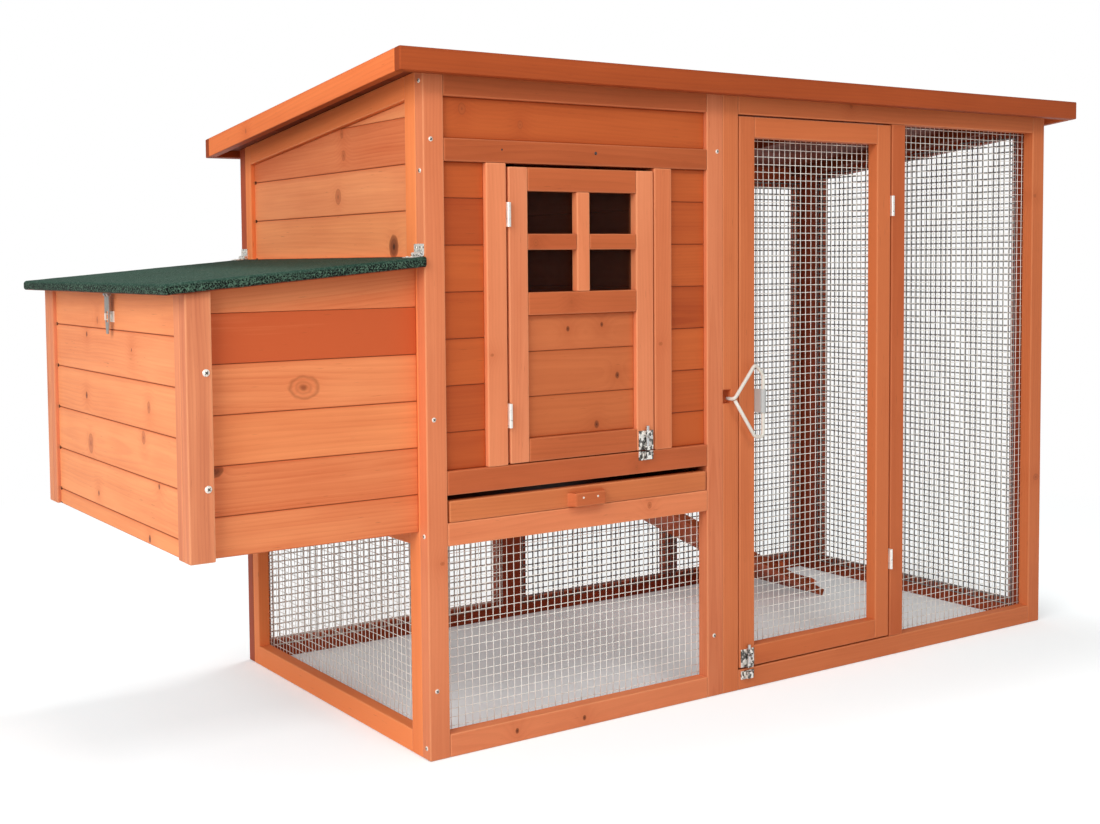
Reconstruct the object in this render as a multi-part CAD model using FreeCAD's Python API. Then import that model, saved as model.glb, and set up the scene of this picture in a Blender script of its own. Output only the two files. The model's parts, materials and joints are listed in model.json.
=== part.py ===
import FreeCAD, Part
import math
import os

from FreeCAD import Matrix, Vector

# Duck house with a wire run and a side nest box, all sizes in millimetres.
# The model is laid out from the left face (x), the front face (y) and the ground (z),
# and is moved at the end so that its origin is under the middle of its overall box.

# Overall frame
frame_length = 1400.0
frame_depth = 640.0
house_length = 565.0
frame_thick = 22.0
stile_width = 34.0
left_front_stile = 30.0
left_rear_stile = 22.0
right_rear_stile = 62.0
rear_top_rail = 42.0
bottom_rail = 34.0

# Roof
roof_front_height = 1015.0
roof_fall = 0.107
roof_over_left = 54.0
roof_over_right = 56.0
roof_over_front = 31.0
roof_over_rear = 27.0
fascia_height = 33.0
fascia_thick = 15.0
deck_thick = 16.0
felt_thick = 2.0
fascia_lip = 3.0
deck_boards = 7
batten_width = 34.0
batten_depth = 20.0
roof_battens = 4

# Levels in the house
low_rail_bottom = 309.0
low_rail_height = 34.0
sill_bottom = 383.0
sill_height = 35.0
head_height = 33.0
head_board_height = 59.0
floor_thick = 8.0
bearer_size = 16.0

# Cladding boards
board_cover = 67.5
board_thick = 12.0
board_setback = 8.0
front_first_board = 55.0
nest_side_first_board = 55.0
nest_end_first_board = 25.0

# Wire mesh
mesh_pitch = 12.7
wire_size = 1.0
mesh_lap = 10.0

# House door and its jambs
jamb_width = 35.0
jamb_left = 105.5
house_door_width = 274.0
door_hinge_gap = 4.0
door_free_gap = 2.5
door_top_gap = 5.0
door_bottom_gap = 1.5
house_door_thick = 20.0
house_door_top_rail = 35.0
house_door_bottom_rail = 35.0
house_door_mid_rail = 34.0
house_door_mid_share = 0.5
house_door_first_board = 62.0
door_board_thick = 10.0
muntin_width = 24.0
muntin_thick = 14.0
pane_thick = 2.0

# Run door
run_door_width = 363.0
run_door_thick = 22.0
run_door_top_gap = 2.5
run_door_bottom_gap = 2.5

# Butt hinges
knuckle_radius = 3.2
pin_radius = 1.5
pin_clearance = 0.06
leaf_thick = 1.2
hinge_height = 36.0
hinge_leaf_reach = 17.0
knuckle_gap = 0.3
hinge_seat = 0.2
house_hinge_low = 54.0
house_hinge_drop = 52.0
run_hinge_low = 122.0
run_hinge_drop = 124.0
lid_hinge_length = 26.0
lid_hinge_inset = 1.0
lid_leaf_reach = 18.0
lid_wall_leaf_reach = 15.0
ramp_hinge_inset = 25.0

# Slide bolts
bolt_plate_width = 29.0
bolt_plate_height = 30.0
bolt_plate_thick = 1.2
bolt_radius = 2.75
bolt_clearance = 0.1
bolt_guide_height = 6.0
bolt_guide_depth = 7.2
bolt_guide_width = 12.0
bolt_throw = 11.0
bolt_length = 38.0
bolt_knob_radius = 2.5
bolt_knob_reach = 9.0
bolt_edge_gap = 1.0
keeper_height = 14.0
run_keeper_drop = 3.0
keeper_bore_clearance = 0.6
bolt_stile_inset = 17.0

# Wire latch on the run door
latch_wire_radius = 3.0
latch_stand_off = 13.0
latch_axis_overhang = 6.5
latch_low = 424.0
latch_high = 545.0
latch_apex_height = 490.0
latch_apex_reach = 64.0
latch_shoulder = 18.0
latch_tail_reach = 7.0
latch_tail_depth = 18.0
latch_bore_clearance = 0.1
latch_bracket_low = 464.0
latch_bracket_height = 39.0
latch_bracket_thick = 2.0
latch_bracket_depth = 16.0
latch_sleeve_wall = 1.8
notch_width = 18.0
notch_height = 22.0
notch_depth = 14.0

# Tray
tray_side_gap = 3.0
tray_clearance = 0.4
tray_front_height = 31.0
tray_front_thick = 16.0
tray_base_thick = 4.0
tray_rim_thick = 10.0
tray_rim_height = 24.0
tray_rear_gap = 8.0
handle_width = 72.0
handle_height = 21.0
handle_depth = 14.0
handle_rise = 2.0
handle_bevel = 8.0

# Nest box
nest_length = 356.0
nest_front_inset = 3.0
nest_rear_inset = 9.0
nest_post_width = 36.0
nest_post_thick = 22.0
nest_stile_width = 20.0
nest_stile_thick = 22.0
nest_setback = 6.0
nest_bottom = 330.0
nest_floor_thick = 8.0
nest_divider_height = 250.0
nest_divider_thick = 12.0
nest_head_rail = 34.0
nest_threshold = 60.0
nest_top_clearance = 0.4

# Nest lid
lid_wall_height = 727.0
lid_fall = 0.083
lid_over_end = 31.0
lid_over_front = 11.0
lid_over_rear = 14.0
lid_board_thick = 13.0
lid_wall_gap = 1.0

# Lid strap and its staple
strap_width = 20.0
strap_tip_width = 9.0
strap_length = 58.0
strap_off_centre = 12.0
strap_thick = 1.5
strap_slot_width = 9.0
strap_slot_height = 16.0
strap_slot_drop = 33.0
strap_stand_off = 8.0
strap_bracket_gap = 0.5
strap_knuckle_radius = 3.0
strap_pin_radius = 1.5
strap_pin_clearance = 0.08
strap_knuckle_gap = 0.4
strap_knuckle_width = 8.0
strap_plate_thick = 1.5
staple_wire = 2.0
staple_reach = 11.0
staple_gap = 6.0
staple_plate_size = 16.0

# Pop hole and ramp
pop_hole_width = 184.0
pop_hole_height = 260.0
ramp_width = 215.0
ramp_rear_gap = 18.0
ramp_thick = 14.0
ramp_slope = 27.6
ramp_rise = 1.0
ramp_foot_gap = 0.3
cleat_width = 20.0
cleat_height = 9.0
cleats = 7

# Screws
screw_head_radius = 3.4
screw_head_height = 1.2
screw_shank_radius = 1.7
screw_length = 16.0
screw_edge_inset = 12.5
screw_foot_inset = 20.0
screw_foot_height = 101.0
screw_head_drop = 96.0
screw_side_inset = 10.0
screw_end_gap = 14.0
screw_post_inset = 27.0
screw_post_low = 97.0
screw_post_high = 249.0
washer_radius = 5.0
washer_thick = 1.0

# Levels and places that follow from the sizes above
rear_inner = frame_depth - frame_thick
roof_left = -roof_over_left
roof_right = frame_length + roof_over_right
roof_front = -roof_over_front
roof_rear = frame_depth + roof_over_rear
deck_drop = fascia_lip + felt_thick + deck_thick
low_rail_top = low_rail_bottom + low_rail_height
sill_top = sill_bottom + sill_height
nest_front = nest_front_inset
nest_rear = frame_depth - nest_rear_inset
nest_floor_top = low_rail_top
nest_end = -nest_length
lid_end = nest_end - lid_over_end
lid_front = nest_front - lid_over_front
lid_rear = nest_rear + lid_over_rear
lid_angle = math.atan(lid_fall)
lid_thick = lid_board_thick + felt_thick
partition_left = house_length - frame_thick / 2
partition_right = house_length + frame_thick / 2
house_inner_left = stile_width
house_inner_right = house_length - stile_width
run_opening_left = house_length + stile_width
run_fixed_stile = run_opening_left + door_free_gap + run_door_width + door_hinge_gap
run_window_left = run_fixed_stile + stile_width
run_window_right = frame_length - stile_width


def roof_top(y):
    return roof_front_height - roof_fall * (y - roof_front)


def deck_under(y):
    return roof_top(y) - deck_drop


front_top = deck_under(frame_thick)
rear_top = deck_under(frame_depth)
front_rail_bottom = front_top - stile_width
head_top = front_rail_bottom - head_board_height
head_bottom = head_top - head_height
rear_rail_bottom = rear_top - rear_top_rail


def side_rail_under(y):
    return deck_under(y) - stile_width


def lid_under(x):
    return lid_wall_height + lid_fall * x - lid_thick / math.cos(lid_angle)


def nest_top(x):
    return lid_under(x) - nest_top_clearance


# Overall box, whose bottom centre becomes the origin
origin_shift = Vector(-(lid_end + roof_right) / 2, -(roof_front + roof_rear) / 2, 0)


def save(node, solids):
    """Write the solids of one sub-part, moved to the model's own origin."""
    shape = Part.makeCompound([solid.copy() for solid in solids])
    shape.translate(origin_shift)
    os.makedirs("parts", exist_ok=True)
    shape.exportStep("parts/" + node + ".step")
    print(node, len(shape.Solids), round(shape.Volume))


def block(x0, x1, y0, y1, z0, z1):
    return Part.makeBox(x1 - x0, y1 - y0, z1 - z0, Vector(x0, y0, z0))


def face_of(points):
    return Part.Face(Part.makePolygon(list(points) + [points[0]]))


def slab_x(points, x0, x1):
    """A prism along x from its outline of (y, z) points."""
    return face_of([Vector(x0, y, z) for y, z in points]).extrude(Vector(x1 - x0, 0, 0))


def slab_y(points, y0, y1):
    """A prism along y from its outline of (x, z) points."""
    return face_of([Vector(x, y0, z) for x, z in points]).extrude(Vector(0, y1 - y0, 0))


def rod(start, end, radius):
    return Part.makeCylinder(radius, (end - start).Length, start, end - start)


def clip_below(points, top):
    """Keep the part of an outline of (u, v) points that lies below the line v = top(u)."""
    kept = []
    for index, point in enumerate(points):
        other = points[(index + 1) % len(points)]
        depth = top(point[0]) - point[1]
        other_depth = top(other[0]) - other[1]
        if depth >= 0:
            kept.append(point)
        if depth * other_depth < 0:
            share = depth / (depth - other_depth)
            kept.append(tuple(a + share * (b - a) for a, b in zip(point, other)))
    return kept


def outline_area(points):
    pairs = zip(points, points[1:] + points[:1])
    return abs(sum(a[0] * b[1] - b[0] * a[1] for a, b in pairs)) / 2


def rectangle(u0, u1, v0, v1):
    return [(u0, v0), (u1, v0), (u1, v1), (u0, v1)]


def board_rows(bottom, top, first):
    """Lower and upper edges of boards laid up from bottom, the first one of its own height."""
    edges = [bottom]
    joint = bottom + first
    while joint < top:
        edges.append(joint)
        joint += board_cover
    edges.append(top)
    return list(zip(edges, edges[1:]))


def boards_across_front(x0, x1, y0, bottom, top, first):
    rows = board_rows(bottom, top, first)
    return [block(x0, x1, y0, y0 + board_thick, low, high) for low, high in rows]


def boards_along_side(x0, y0, y1, bottom, top_line, first):
    """Boards in a side wall, cut off along a sloping line above."""
    highest = max(top_line(y0), top_line(y1))
    boards = []
    for low, high in board_rows(bottom, highest, first):
        outline = clip_below(rectangle(y0, y1, low, high), top_line)
        if outline_area(outline) > board_thick * board_cover:
            boards.append(slab_x(outline, x0, x0 + board_thick))
    return boards


def mesh_panel(u0, u1, v0, top_line, place, depth):
    """Welded mesh as two layers of wires, each layer tied by its outer wires.

    The panel lies in (u, v); place turns (u, v, w) into a point, and depth is w of its front.
    """
    highest = max(top_line(u0), top_line(u1))
    outline = clip_below(rectangle(u0, u1, v0, highest), top_line)

    def inner_line(u):
        return top_line(u) - wire_size

    def holes(low, high, upright):
        count = round((high - low) / mesh_pitch)
        pitch = (high - low - wire_size) / count
        cells = []
        for index in range(count):
            start = low + wire_size + index * pitch
            end = start + pitch - wire_size
            if upright:
                cell = rectangle(start, end, v0 + wire_size, highest)
            else:
                cell = rectangle(u0 + wire_size, u1 - wire_size, start, end)
            cell = clip_below(cell, inner_line)
            if len(cell) > 2 and outline_area(cell) > mesh_pitch:
                cells.append(cell)
        return cells

    layers = []
    for layer, spans in enumerate((holes(u0, u1, True), holes(v0, highest, False))):
        near = depth + layer * wire_size
        loops = [outline] + spans
        wires = []
        for loop in loops:
            points = [Vector(*place(u, v, near)) for u, v in loop]
            wires.append(Part.makePolygon(points + [points[0]]))
        face = Part.Face(wires[0])
        face = Part.Face([face.OuterWire] + [wire.reversed() for wire in wires[1:]])
        face.validate()
        step = Vector(*place(0, 0, wire_size)) - Vector(*place(0, 0, 0))
        layers.append(face.extrude(step))
    return layers


def facing_front(u, v, w):
    return (u, w, v)


def facing_side(u, v, w):
    return (w, u, v)


def level(height):
    return lambda u: height


def in_frame(shape, origin, reach, along):
    """Place a shape drawn along local x, beside local y and up local z."""
    beside = along.cross(reach)
    columns = zip(reach, beside, along, origin)
    numbers = [value for row in columns for value in row] + [0, 0, 0, 1]
    return shape.transformGeometry(Matrix(*numbers))


def hinge_segments(height):
    """Spans of the three knuckles along the pin: outer, middle, outer."""
    third = height / 3
    return [(index * third, (index + 1) * third - knuckle_gap) for index in range(3)]


def hinge_leaf(origin, reach, along, low, high, length, height, own):
    """One leaf of a butt hinge.

    Its plate reaches from the pin in the direction reach and lies between low and high
    beside the pin. Its own knuckles are the "outer" ones, which hold the pin tight, or the
    "middle" one, which turns on it.
    """
    clearance = pin_clearance if own == "middle" else 0
    leaf = Part.makeBox(length, high - low, height, Vector(0, low, 0))
    room = knuckle_radius + hinge_seat
    for place, (start, end) in zip(("outer", "middle", "outer"), hinge_segments(height)):
        if place == own:
            knuckle = Part.makeCylinder(knuckle_radius, end - start, Vector(0, 0, start))
            leaf = leaf.fuse(knuckle)
        else:
            base = Vector(-room, -room, start - knuckle_gap)
            gap = Part.makeBox(2 * room, 2 * room, end - start + 2 * knuckle_gap, base)
            leaf = leaf.cut(gap)
    bore = Part.makeCylinder(pin_radius + clearance, height)
    leaf = leaf.cut(bore).removeSplitter()
    return in_frame(leaf, origin, reach, along)


def hinge_pin(origin, along, height):
    return rod(origin, origin + along * height, pin_radius)


def slide_bolt(x, face_bottom):
    """Plate with two guides, and its rod, drawn back, above an edge at face_bottom."""
    low = face_bottom + bolt_edge_gap
    high = low + bolt_plate_height
    half = bolt_plate_width / 2
    plate = block(x - half, x + half, -bolt_plate_thick, 0, low, high)
    front = -bolt_plate_thick - bolt_guide_depth
    middle = -bolt_plate_thick - bolt_guide_depth / 2
    guide_half = bolt_guide_width / 2
    for start in (low, high - bolt_guide_height):
        guide = block(x - guide_half, x + guide_half, front, -bolt_plate_thick,
                      start, start + bolt_guide_height)
        plate = plate.fuse(guide)
    hole = Part.makeCylinder(bolt_radius + bolt_clearance, bolt_plate_height, Vector(x, middle, low))
    plate = plate.cut(hole).removeSplitter()
    bolt = Part.makeCylinder(bolt_radius, bolt_length, Vector(x, middle, low))
    knob_height = high - bolt_guide_height - bolt_knob_radius - bolt_edge_gap
    knob = Part.makeCylinder(bolt_knob_radius, bolt_knob_reach, Vector(x, middle, knob_height),
                             Vector(0, -1, 0))
    return plate, bolt.fuse(knob)


def bolt_keeper(x, top):
    """Plate with one guide that takes the bolt's end, below an edge at top."""
    low = top - keeper_height
    half = bolt_plate_width / 2
    plate = block(x - half, x + half, -bolt_plate_thick, 0, low, top)
    guide_half = bolt_guide_width / 2
    guide_top = top - bolt_edge_gap
    guide_low = guide_top - bolt_throw
    front = -bolt_plate_thick - bolt_guide_depth
    guide = block(x - guide_half, x + guide_half, front, -bolt_plate_thick, guide_low, guide_top)
    middle = -bolt_plate_thick - bolt_guide_depth / 2
    hole = Part.makeCylinder(bolt_radius + keeper_bore_clearance, bolt_throw,
                             Vector(x, middle, guide_low))
    return plate.fuse(guide).cut(hole).removeSplitter()


def side_rail(y0, y1, x0, x1):
    """The sloping top rail of a side wall, under the roof deck."""
    points = [(y0, side_rail_under(y0)), (y1, side_rail_under(y1)), (y1, deck_under(y1)),
              (y0, deck_under(y0))]
    return slab_x(points, x0, x1)


def post(x0, x1, y0, y1, bottom):
    """An upright or a rail whose top follows the roof deck."""
    points = [(y0, bottom), (y1, bottom), (y1, deck_under(y1)), (y0, deck_under(y0))]
    return slab_x(points, x0, x1)


# Screw places: (x, z) on the front, (y, z) on the left side, (x, z) on the nest's front post
right_stile_screws = [
    (house_length - screw_foot_inset, screw_foot_height),
    (house_length - screw_edge_inset, front_top - screw_head_drop),
]
left_stile_screws = [
    (screw_edge_inset, screw_foot_height),
    (screw_edge_inset, front_top / 2),
    (screw_edge_inset, front_top - screw_head_drop),
]
side_screws = [
    (screw_side_inset, bottom_rail / 2),
    (screw_side_inset, low_rail_bottom + low_rail_height / 2),
    (screw_side_inset, head_bottom - screw_end_gap),
    (screw_side_inset, front_top - screw_end_gap),
]
post_screws = [
    (nest_end + screw_post_inset, nest_bottom + screw_post_low),
    (nest_end + screw_post_inset, nest_bottom + screw_post_high),
]


def drill_front(solid, places, face):
    for x, z in places:
        solid = solid.cut(rod(Vector(x, face, z), Vector(x, face + screw_length, z),
                              screw_shank_radius))
    return solid


def drill_side(solid, places):
    for y, z in places:
        solid = solid.cut(rod(Vector(0, y, z), Vector(screw_length, y, z), screw_shank_radius))
    return solid


# House front panel: two stiles, five rails, two door jambs, cladding round them, mesh below
jamb_left_edge = jamb_left + jamb_width
door_left = jamb_left_edge + door_hinge_gap
door_right = door_left + house_door_width
jamb_right = door_right + door_free_gap
jamb_right_edge = jamb_right + jamb_width
house_rails = [
    (0.0, bottom_rail),
    (low_rail_bottom, low_rail_top),
    (sill_bottom, sill_top),
    (head_bottom, head_top),
]
house_front = [
    drill_side(drill_front(post(0, house_inner_left, 0, frame_thick, 0), left_stile_screws, 0),
               side_screws),
    drill_front(post(house_inner_right, house_length, 0, frame_thick, 0), right_stile_screws, 0),
    post(house_inner_left, house_inner_right, 0, frame_thick, front_rail_bottom),
    block(jamb_left, jamb_left_edge, 0, frame_thick, sill_top, head_bottom),
    block(jamb_right, jamb_right_edge, 0, frame_thick, sill_top, head_bottom),
]
for low, high in house_rails:
    house_front.append(block(house_inner_left, house_inner_right, 0, frame_thick, low, high))
save("house_front_frame", house_front)

front_boards = boards_across_front(house_inner_left, jamb_left, board_setback, sill_top,
                                   head_bottom, front_first_board)
front_boards += boards_across_front(jamb_right_edge, house_inner_right, board_setback, sill_top,
                                    head_bottom, front_first_board)
front_boards.append(block(house_inner_left, house_inner_right, board_setback,
                          board_setback + board_thick, head_top, front_rail_bottom))
save("house_front_cladding", front_boards)
save("house_front_mesh", mesh_panel(house_inner_left - mesh_lap, house_inner_right + mesh_lap,
                                    bottom_rail - mesh_lap, level(low_rail_bottom + mesh_lap),
                                    facing_front, frame_thick))

# Run front panel: three stiles, two rails, and the notch for the latch's tail
notch = block(house_length, house_length + notch_width, 0, notch_depth,
              latch_apex_height + latch_tail_reach / 2 - notch_height / 2,
              latch_apex_height + latch_tail_reach / 2 + notch_height / 2)
run_front = [
    post(house_length, run_opening_left, 0, frame_thick, 0).cut(notch),
    post(run_window_right, frame_length, 0, frame_thick, 0),
    post(run_opening_left, run_window_right, 0, frame_thick, front_rail_bottom),
    block(run_fixed_stile, run_window_left, 0, frame_thick, bottom_rail, front_rail_bottom),
    block(run_opening_left, run_window_right, 0, frame_thick, 0, bottom_rail),
]
save("run_front_frame", run_front)
save("run_front_mesh", mesh_panel(run_window_left - mesh_lap, run_window_right + mesh_lap,
                                  bottom_rail - mesh_lap, level(front_rail_bottom + mesh_lap),
                                  facing_front, frame_thick))

# Left side: nest opening in the middle, cladding above it and mesh under the floor
left_front_edge = frame_thick + left_front_stile
left_rear_edge = rear_inner - left_rear_stile
nest_head_top = lid_wall_height - lid_wall_gap
nest_head_bottom = nest_head_top - nest_head_rail
left_side = [
    post(0, frame_thick, frame_thick, left_front_edge, 0),
    post(0, frame_thick, left_rear_edge, rear_inner, 0),
    side_rail(left_front_edge, left_rear_edge, 0, frame_thick),
]
for low, high in ((0, bottom_rail), (low_rail_bottom, low_rail_top), (nest_head_bottom, nest_head_top)):
    left_side.append(block(0, frame_thick, left_front_edge, left_rear_edge, low, high))
save("left_side_frame", left_side)
left_boards = boards_along_side(board_setback, left_front_edge, left_rear_edge, nest_head_top,
                                side_rail_under, board_cover)
left_boards.append(block(board_setback, board_setback + board_thick, left_front_edge,
                         left_rear_edge, low_rail_top, low_rail_top + nest_threshold))
save("left_side_cladding", left_boards)
save("left_side_mesh", mesh_panel(left_front_edge - mesh_lap, left_rear_edge + mesh_lap,
                                  bottom_rail - mesh_lap, level(low_rail_bottom + mesh_lap),
                                  facing_side, frame_thick))

# Right side: mesh over its whole height
right_face = frame_length - frame_thick
right_front_edge = frame_thick + stile_width
right_rear_edge = rear_inner - right_rear_stile
save("right_side_frame", [
    post(right_face, frame_length, frame_thick, right_front_edge, 0),
    post(right_face, frame_length, right_rear_edge, rear_inner, 0),
    side_rail(right_front_edge, right_rear_edge, right_face, frame_length),
    block(right_face, frame_length, right_front_edge, right_rear_edge, 0, bottom_rail),
])


def right_mesh_top(y):
    return side_rail_under(y) + mesh_lap


save("right_side_mesh", mesh_panel(right_front_edge - mesh_lap, right_rear_edge + mesh_lap,
                                   bottom_rail - mesh_lap, right_mesh_top, facing_side,
                                   right_face - 2 * wire_size))

# Rear: clad behind the house, mesh behind the run and under the floor
rear_stiles = [
    (0, stile_width),
    (house_inner_right, house_length),
    (house_length, run_opening_left),
    (run_window_right, frame_length),
]
rear_frame = [post(x0, x1, rear_inner, frame_depth, 0) for x0, x1 in rear_stiles]
rear_frame.append(block(run_fixed_stile, run_window_left, rear_inner, frame_depth, bottom_rail,
                        rear_rail_bottom))
for low, high in ((0, bottom_rail), (low_rail_bottom, low_rail_top)):
    rear_frame.append(block(house_inner_left, house_inner_right, rear_inner, frame_depth, low, high))
rear_frame.append(block(run_opening_left, run_window_right, rear_inner, frame_depth, 0, bottom_rail))
rear_frame.append(post(house_inner_left, house_inner_right, rear_inner, frame_depth,
                       rear_rail_bottom))
rear_frame.append(post(run_opening_left, run_window_right, rear_inner, frame_depth,
                       rear_rail_bottom))
save("rear_frame", rear_frame)
rear_board_front = frame_depth - board_setback - board_thick
save("rear_cladding", boards_across_front(house_inner_left, house_inner_right, rear_board_front,
                                          low_rail_top, rear_rail_bottom, board_cover))
rear_mesh = mesh_panel(house_inner_left - mesh_lap, house_inner_right + mesh_lap,
                       bottom_rail - mesh_lap, level(low_rail_bottom + mesh_lap),
                       facing_front, rear_inner - 2 * wire_size)
save("rear_house_mesh", rear_mesh)
save("rear_run_mesh", mesh_panel(run_opening_left - mesh_lap, run_window_right + mesh_lap,
                                 bottom_rail - mesh_lap, level(rear_rail_bottom + mesh_lap),
                                 facing_front, rear_inner - 2 * wire_size))

# Partition between house and run, with the pop hole at its rear
pop_rear = rear_inner - stile_width
pop_front = pop_rear - pop_hole_width
pop_bottom = low_rail_top + stile_width
pop_top = pop_bottom + pop_hole_height
partition_front = frame_thick + stile_width
lintel_top = pop_top + stile_width
partition = [
    post(partition_left, partition_right, frame_thick, partition_front, low_rail_top),
    post(partition_left, partition_right, pop_rear, rear_inner, low_rail_top),
    side_rail(partition_front, pop_rear, partition_left, partition_right),
    block(partition_left, partition_right, partition_front, pop_rear, low_rail_top, pop_bottom),
    block(partition_left, partition_right, partition_front, pop_rear, pop_top, lintel_top),
    block(partition_left, partition_right, pop_front - stile_width, pop_front, pop_bottom, pop_top),
]
save("partition_frame", partition)
partition_board_left = (partition_left + partition_right - board_thick) / 2
partition_boards = boards_along_side(partition_board_left, partition_front, pop_rear, lintel_top,
                                     side_rail_under, board_cover)
partition_boards += boards_along_side(partition_board_left, partition_front,
                                      pop_front - stile_width, pop_bottom, level(pop_top),
                                      board_cover)
save("partition_cladding", partition_boards)

# House floor on two bearers
floor_bottom = low_rail_top - floor_thick
bearer_bottom = floor_bottom - bearer_size
save("house_floor", [
    block(frame_thick, partition_left, frame_thick, rear_inner, floor_bottom, low_rail_top),
    block(frame_thick, partition_left, frame_thick, frame_thick + bearer_size, bearer_bottom,
          floor_bottom),
    block(frame_thick, partition_left, rear_inner - bearer_size, rear_inner, bearer_bottom,
          floor_bottom),
])

# Roof: deck boards inside a fascia ring, felt on the deck, battens under it
deck_left = roof_left + fascia_thick
deck_right = roof_right - fascia_thick
deck_front = roof_front + fascia_thick
deck_rear = roof_rear - fascia_thick


def sloped_strip(y0, y1, x0, x1, drop, thick):
    """A strip that follows the roof, its top lying drop below the fascia's top."""
    points = [(y0, roof_top(y0) - drop - thick), (y1, roof_top(y1) - drop - thick),
              (y1, roof_top(y1) - drop), (y0, roof_top(y0) - drop)]
    return slab_x(points, x0, x1)


deck_pitch = (deck_rear - deck_front) / deck_boards
deck = []
for index in range(deck_boards):
    start = deck_front + index * deck_pitch
    deck.append(sloped_strip(start, start + deck_pitch, deck_left, deck_right,
                             fascia_lip + felt_thick, deck_thick))
save("roof_deck", deck)
save("roof_felt", [sloped_strip(deck_front, deck_rear, deck_left, deck_right, fascia_lip, felt_thick)])
save("roof_fascia", [
    sloped_strip(roof_front, deck_front, roof_left, roof_right, 0, fascia_height),
    sloped_strip(deck_rear, roof_rear, roof_left, roof_right, 0, fascia_height),
    sloped_strip(deck_front, deck_rear, roof_left, deck_left, 0, fascia_height),
    sloped_strip(deck_front, deck_rear, deck_right, roof_right, 0, fascia_height),
])
batten_places = [frame_thick, partition_left - batten_width, run_fixed_stile, right_face - batten_width]
save("roof_battens", [
    sloped_strip(frame_thick, rear_inner, x, x + batten_width, deck_drop, batten_depth)
    for x in batten_places[:roof_battens]
])

# Nest box: posts, end stiles, cladding, floor and divider
nest_post_right = nest_end + nest_post_width
end_stile_right = nest_end + nest_stile_thick
front_post_back = nest_front + nest_post_thick
rear_post_front = nest_rear - nest_post_thick


def nest_slab(x0, x1, y0, y1, bottom):
    points = [(x0, bottom), (x1, bottom), (x1, nest_top(x1)), (x0, nest_top(x0))]
    return slab_y(points, y0, y1)


front_post = nest_slab(nest_end, nest_post_right, nest_front, front_post_back, nest_bottom)
save("nest_frame", [
    drill_front(front_post, post_screws, nest_front),
    nest_slab(nest_end, nest_post_right, rear_post_front, nest_rear, nest_bottom),
    nest_slab(nest_end, end_stile_right, front_post_back, front_post_back + nest_stile_width,
              nest_bottom),
    nest_slab(nest_end, end_stile_right, rear_post_front - nest_stile_width, rear_post_front,
              nest_bottom),
])
end_board_left = nest_end + nest_setback
end_board_right = end_board_left + board_thick
end_front = front_post_back + nest_stile_width
end_rear = rear_post_front - nest_stile_width
nest_boards = []
for low, high in board_rows(nest_bottom, nest_top(end_board_right), nest_end_first_board):
    outline = clip_below(rectangle(end_board_left, end_board_right, low, high), nest_top)
    nest_boards.append(slab_y(outline, end_front, end_rear))
side_boards_front = front_post_back
side_boards_rear = rear_post_front - board_thick
for low, high in board_rows(nest_bottom, nest_top(0), nest_side_first_board):
    outline = clip_below(rectangle(end_stile_right, 0, low, high), nest_top)
    if outline_area(outline) > board_thick * board_cover:
        nest_boards.append(slab_y(outline, side_boards_front, side_boards_front + board_thick))
        nest_boards.append(slab_y(outline, side_boards_rear, side_boards_rear + board_thick))
save("nest_cladding", nest_boards)
nest_inner_front = side_boards_front + board_thick
nest_inner_rear = side_boards_rear
nest_floor_bottom = nest_floor_top - nest_floor_thick
nest_floor = block(end_board_right, 0, nest_inner_front, nest_inner_rear, nest_floor_bottom,
                   nest_floor_top)
for y0, y1 in ((nest_inner_front, end_front), (end_rear, nest_inner_rear)):
    corner = block(end_board_right, end_stile_right, y0, y1, nest_floor_bottom, nest_floor_top)
    nest_floor = nest_floor.cut(corner)
save("nest_floor", [nest_floor.removeSplitter()])
divider_middle = (nest_inner_front + nest_inner_rear) / 2
save("nest_divider", [
    block(end_board_right, 0, divider_middle - nest_divider_thick / 2,
          divider_middle + nest_divider_thick / 2, nest_floor_top,
          nest_floor_top + nest_divider_height),
])

# Nest lid: a board wrapped in felt, sloping away from the wall
lid_wall = -lid_wall_gap


def lid_top(x):
    return lid_wall_height + lid_fall * x


def lid_slab(x0, x1, y0, y1, top_drop, bottom_drop):
    """A slab under the lid's sloping top, drops measured straight down."""
    points = [(x0, lid_top(x0) - bottom_drop), (x1, lid_top(x1) - bottom_drop),
              (x1, lid_top(x1) - top_drop), (x0, lid_top(x0) - top_drop)]
    return slab_y(points, y0, y1)


felt_drop = felt_thick / math.cos(lid_angle)
lid_drop = lid_thick / math.cos(lid_angle)
lid_board_end = lid_end + felt_thick
lid_board = lid_slab(lid_board_end, lid_wall, lid_front + felt_thick, lid_rear - felt_thick,
                     felt_drop, lid_drop)
save("nest_lid_board", [lid_board])
lid_felt = lid_slab(lid_end, lid_wall, lid_front, lid_rear, 0, lid_drop)
save("nest_lid_felt", [lid_felt.cut(lid_board)])

# Lid hinges on the wall, their pins along y just above the lid
lid_outward = Vector(-math.cos(lid_angle), 0, -math.sin(lid_angle))
hinge_offset = knuckle_radius + hinge_seat
lid_pin_x = -hinge_offset
lid_pin_z = lid_top(lid_pin_x) + hinge_offset / math.cos(lid_angle)
lid_hinge_starts = [lid_hinge_inset, frame_depth - lid_hinge_inset - lid_hinge_length]
along_y = Vector(0, 1, 0)
up = Vector(0, 0, 1)
wall_leaves = []
lid_leaves = []
pins = []
for start in lid_hinge_starts:
    origin = Vector(lid_pin_x, start, lid_pin_z)
    wall_leaves.append(hinge_leaf(origin, up, along_y, hinge_offset - leaf_thick, hinge_offset,
                                  lid_wall_leaf_reach, lid_hinge_length, "outer"))
    lid_leaves.append(hinge_leaf(origin, lid_outward, along_y, -hinge_offset,
                                 leaf_thick - hinge_offset, lid_leaf_reach, lid_hinge_length, "middle"))
    pins.append(hinge_pin(origin, along_y, lid_hinge_length))
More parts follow.
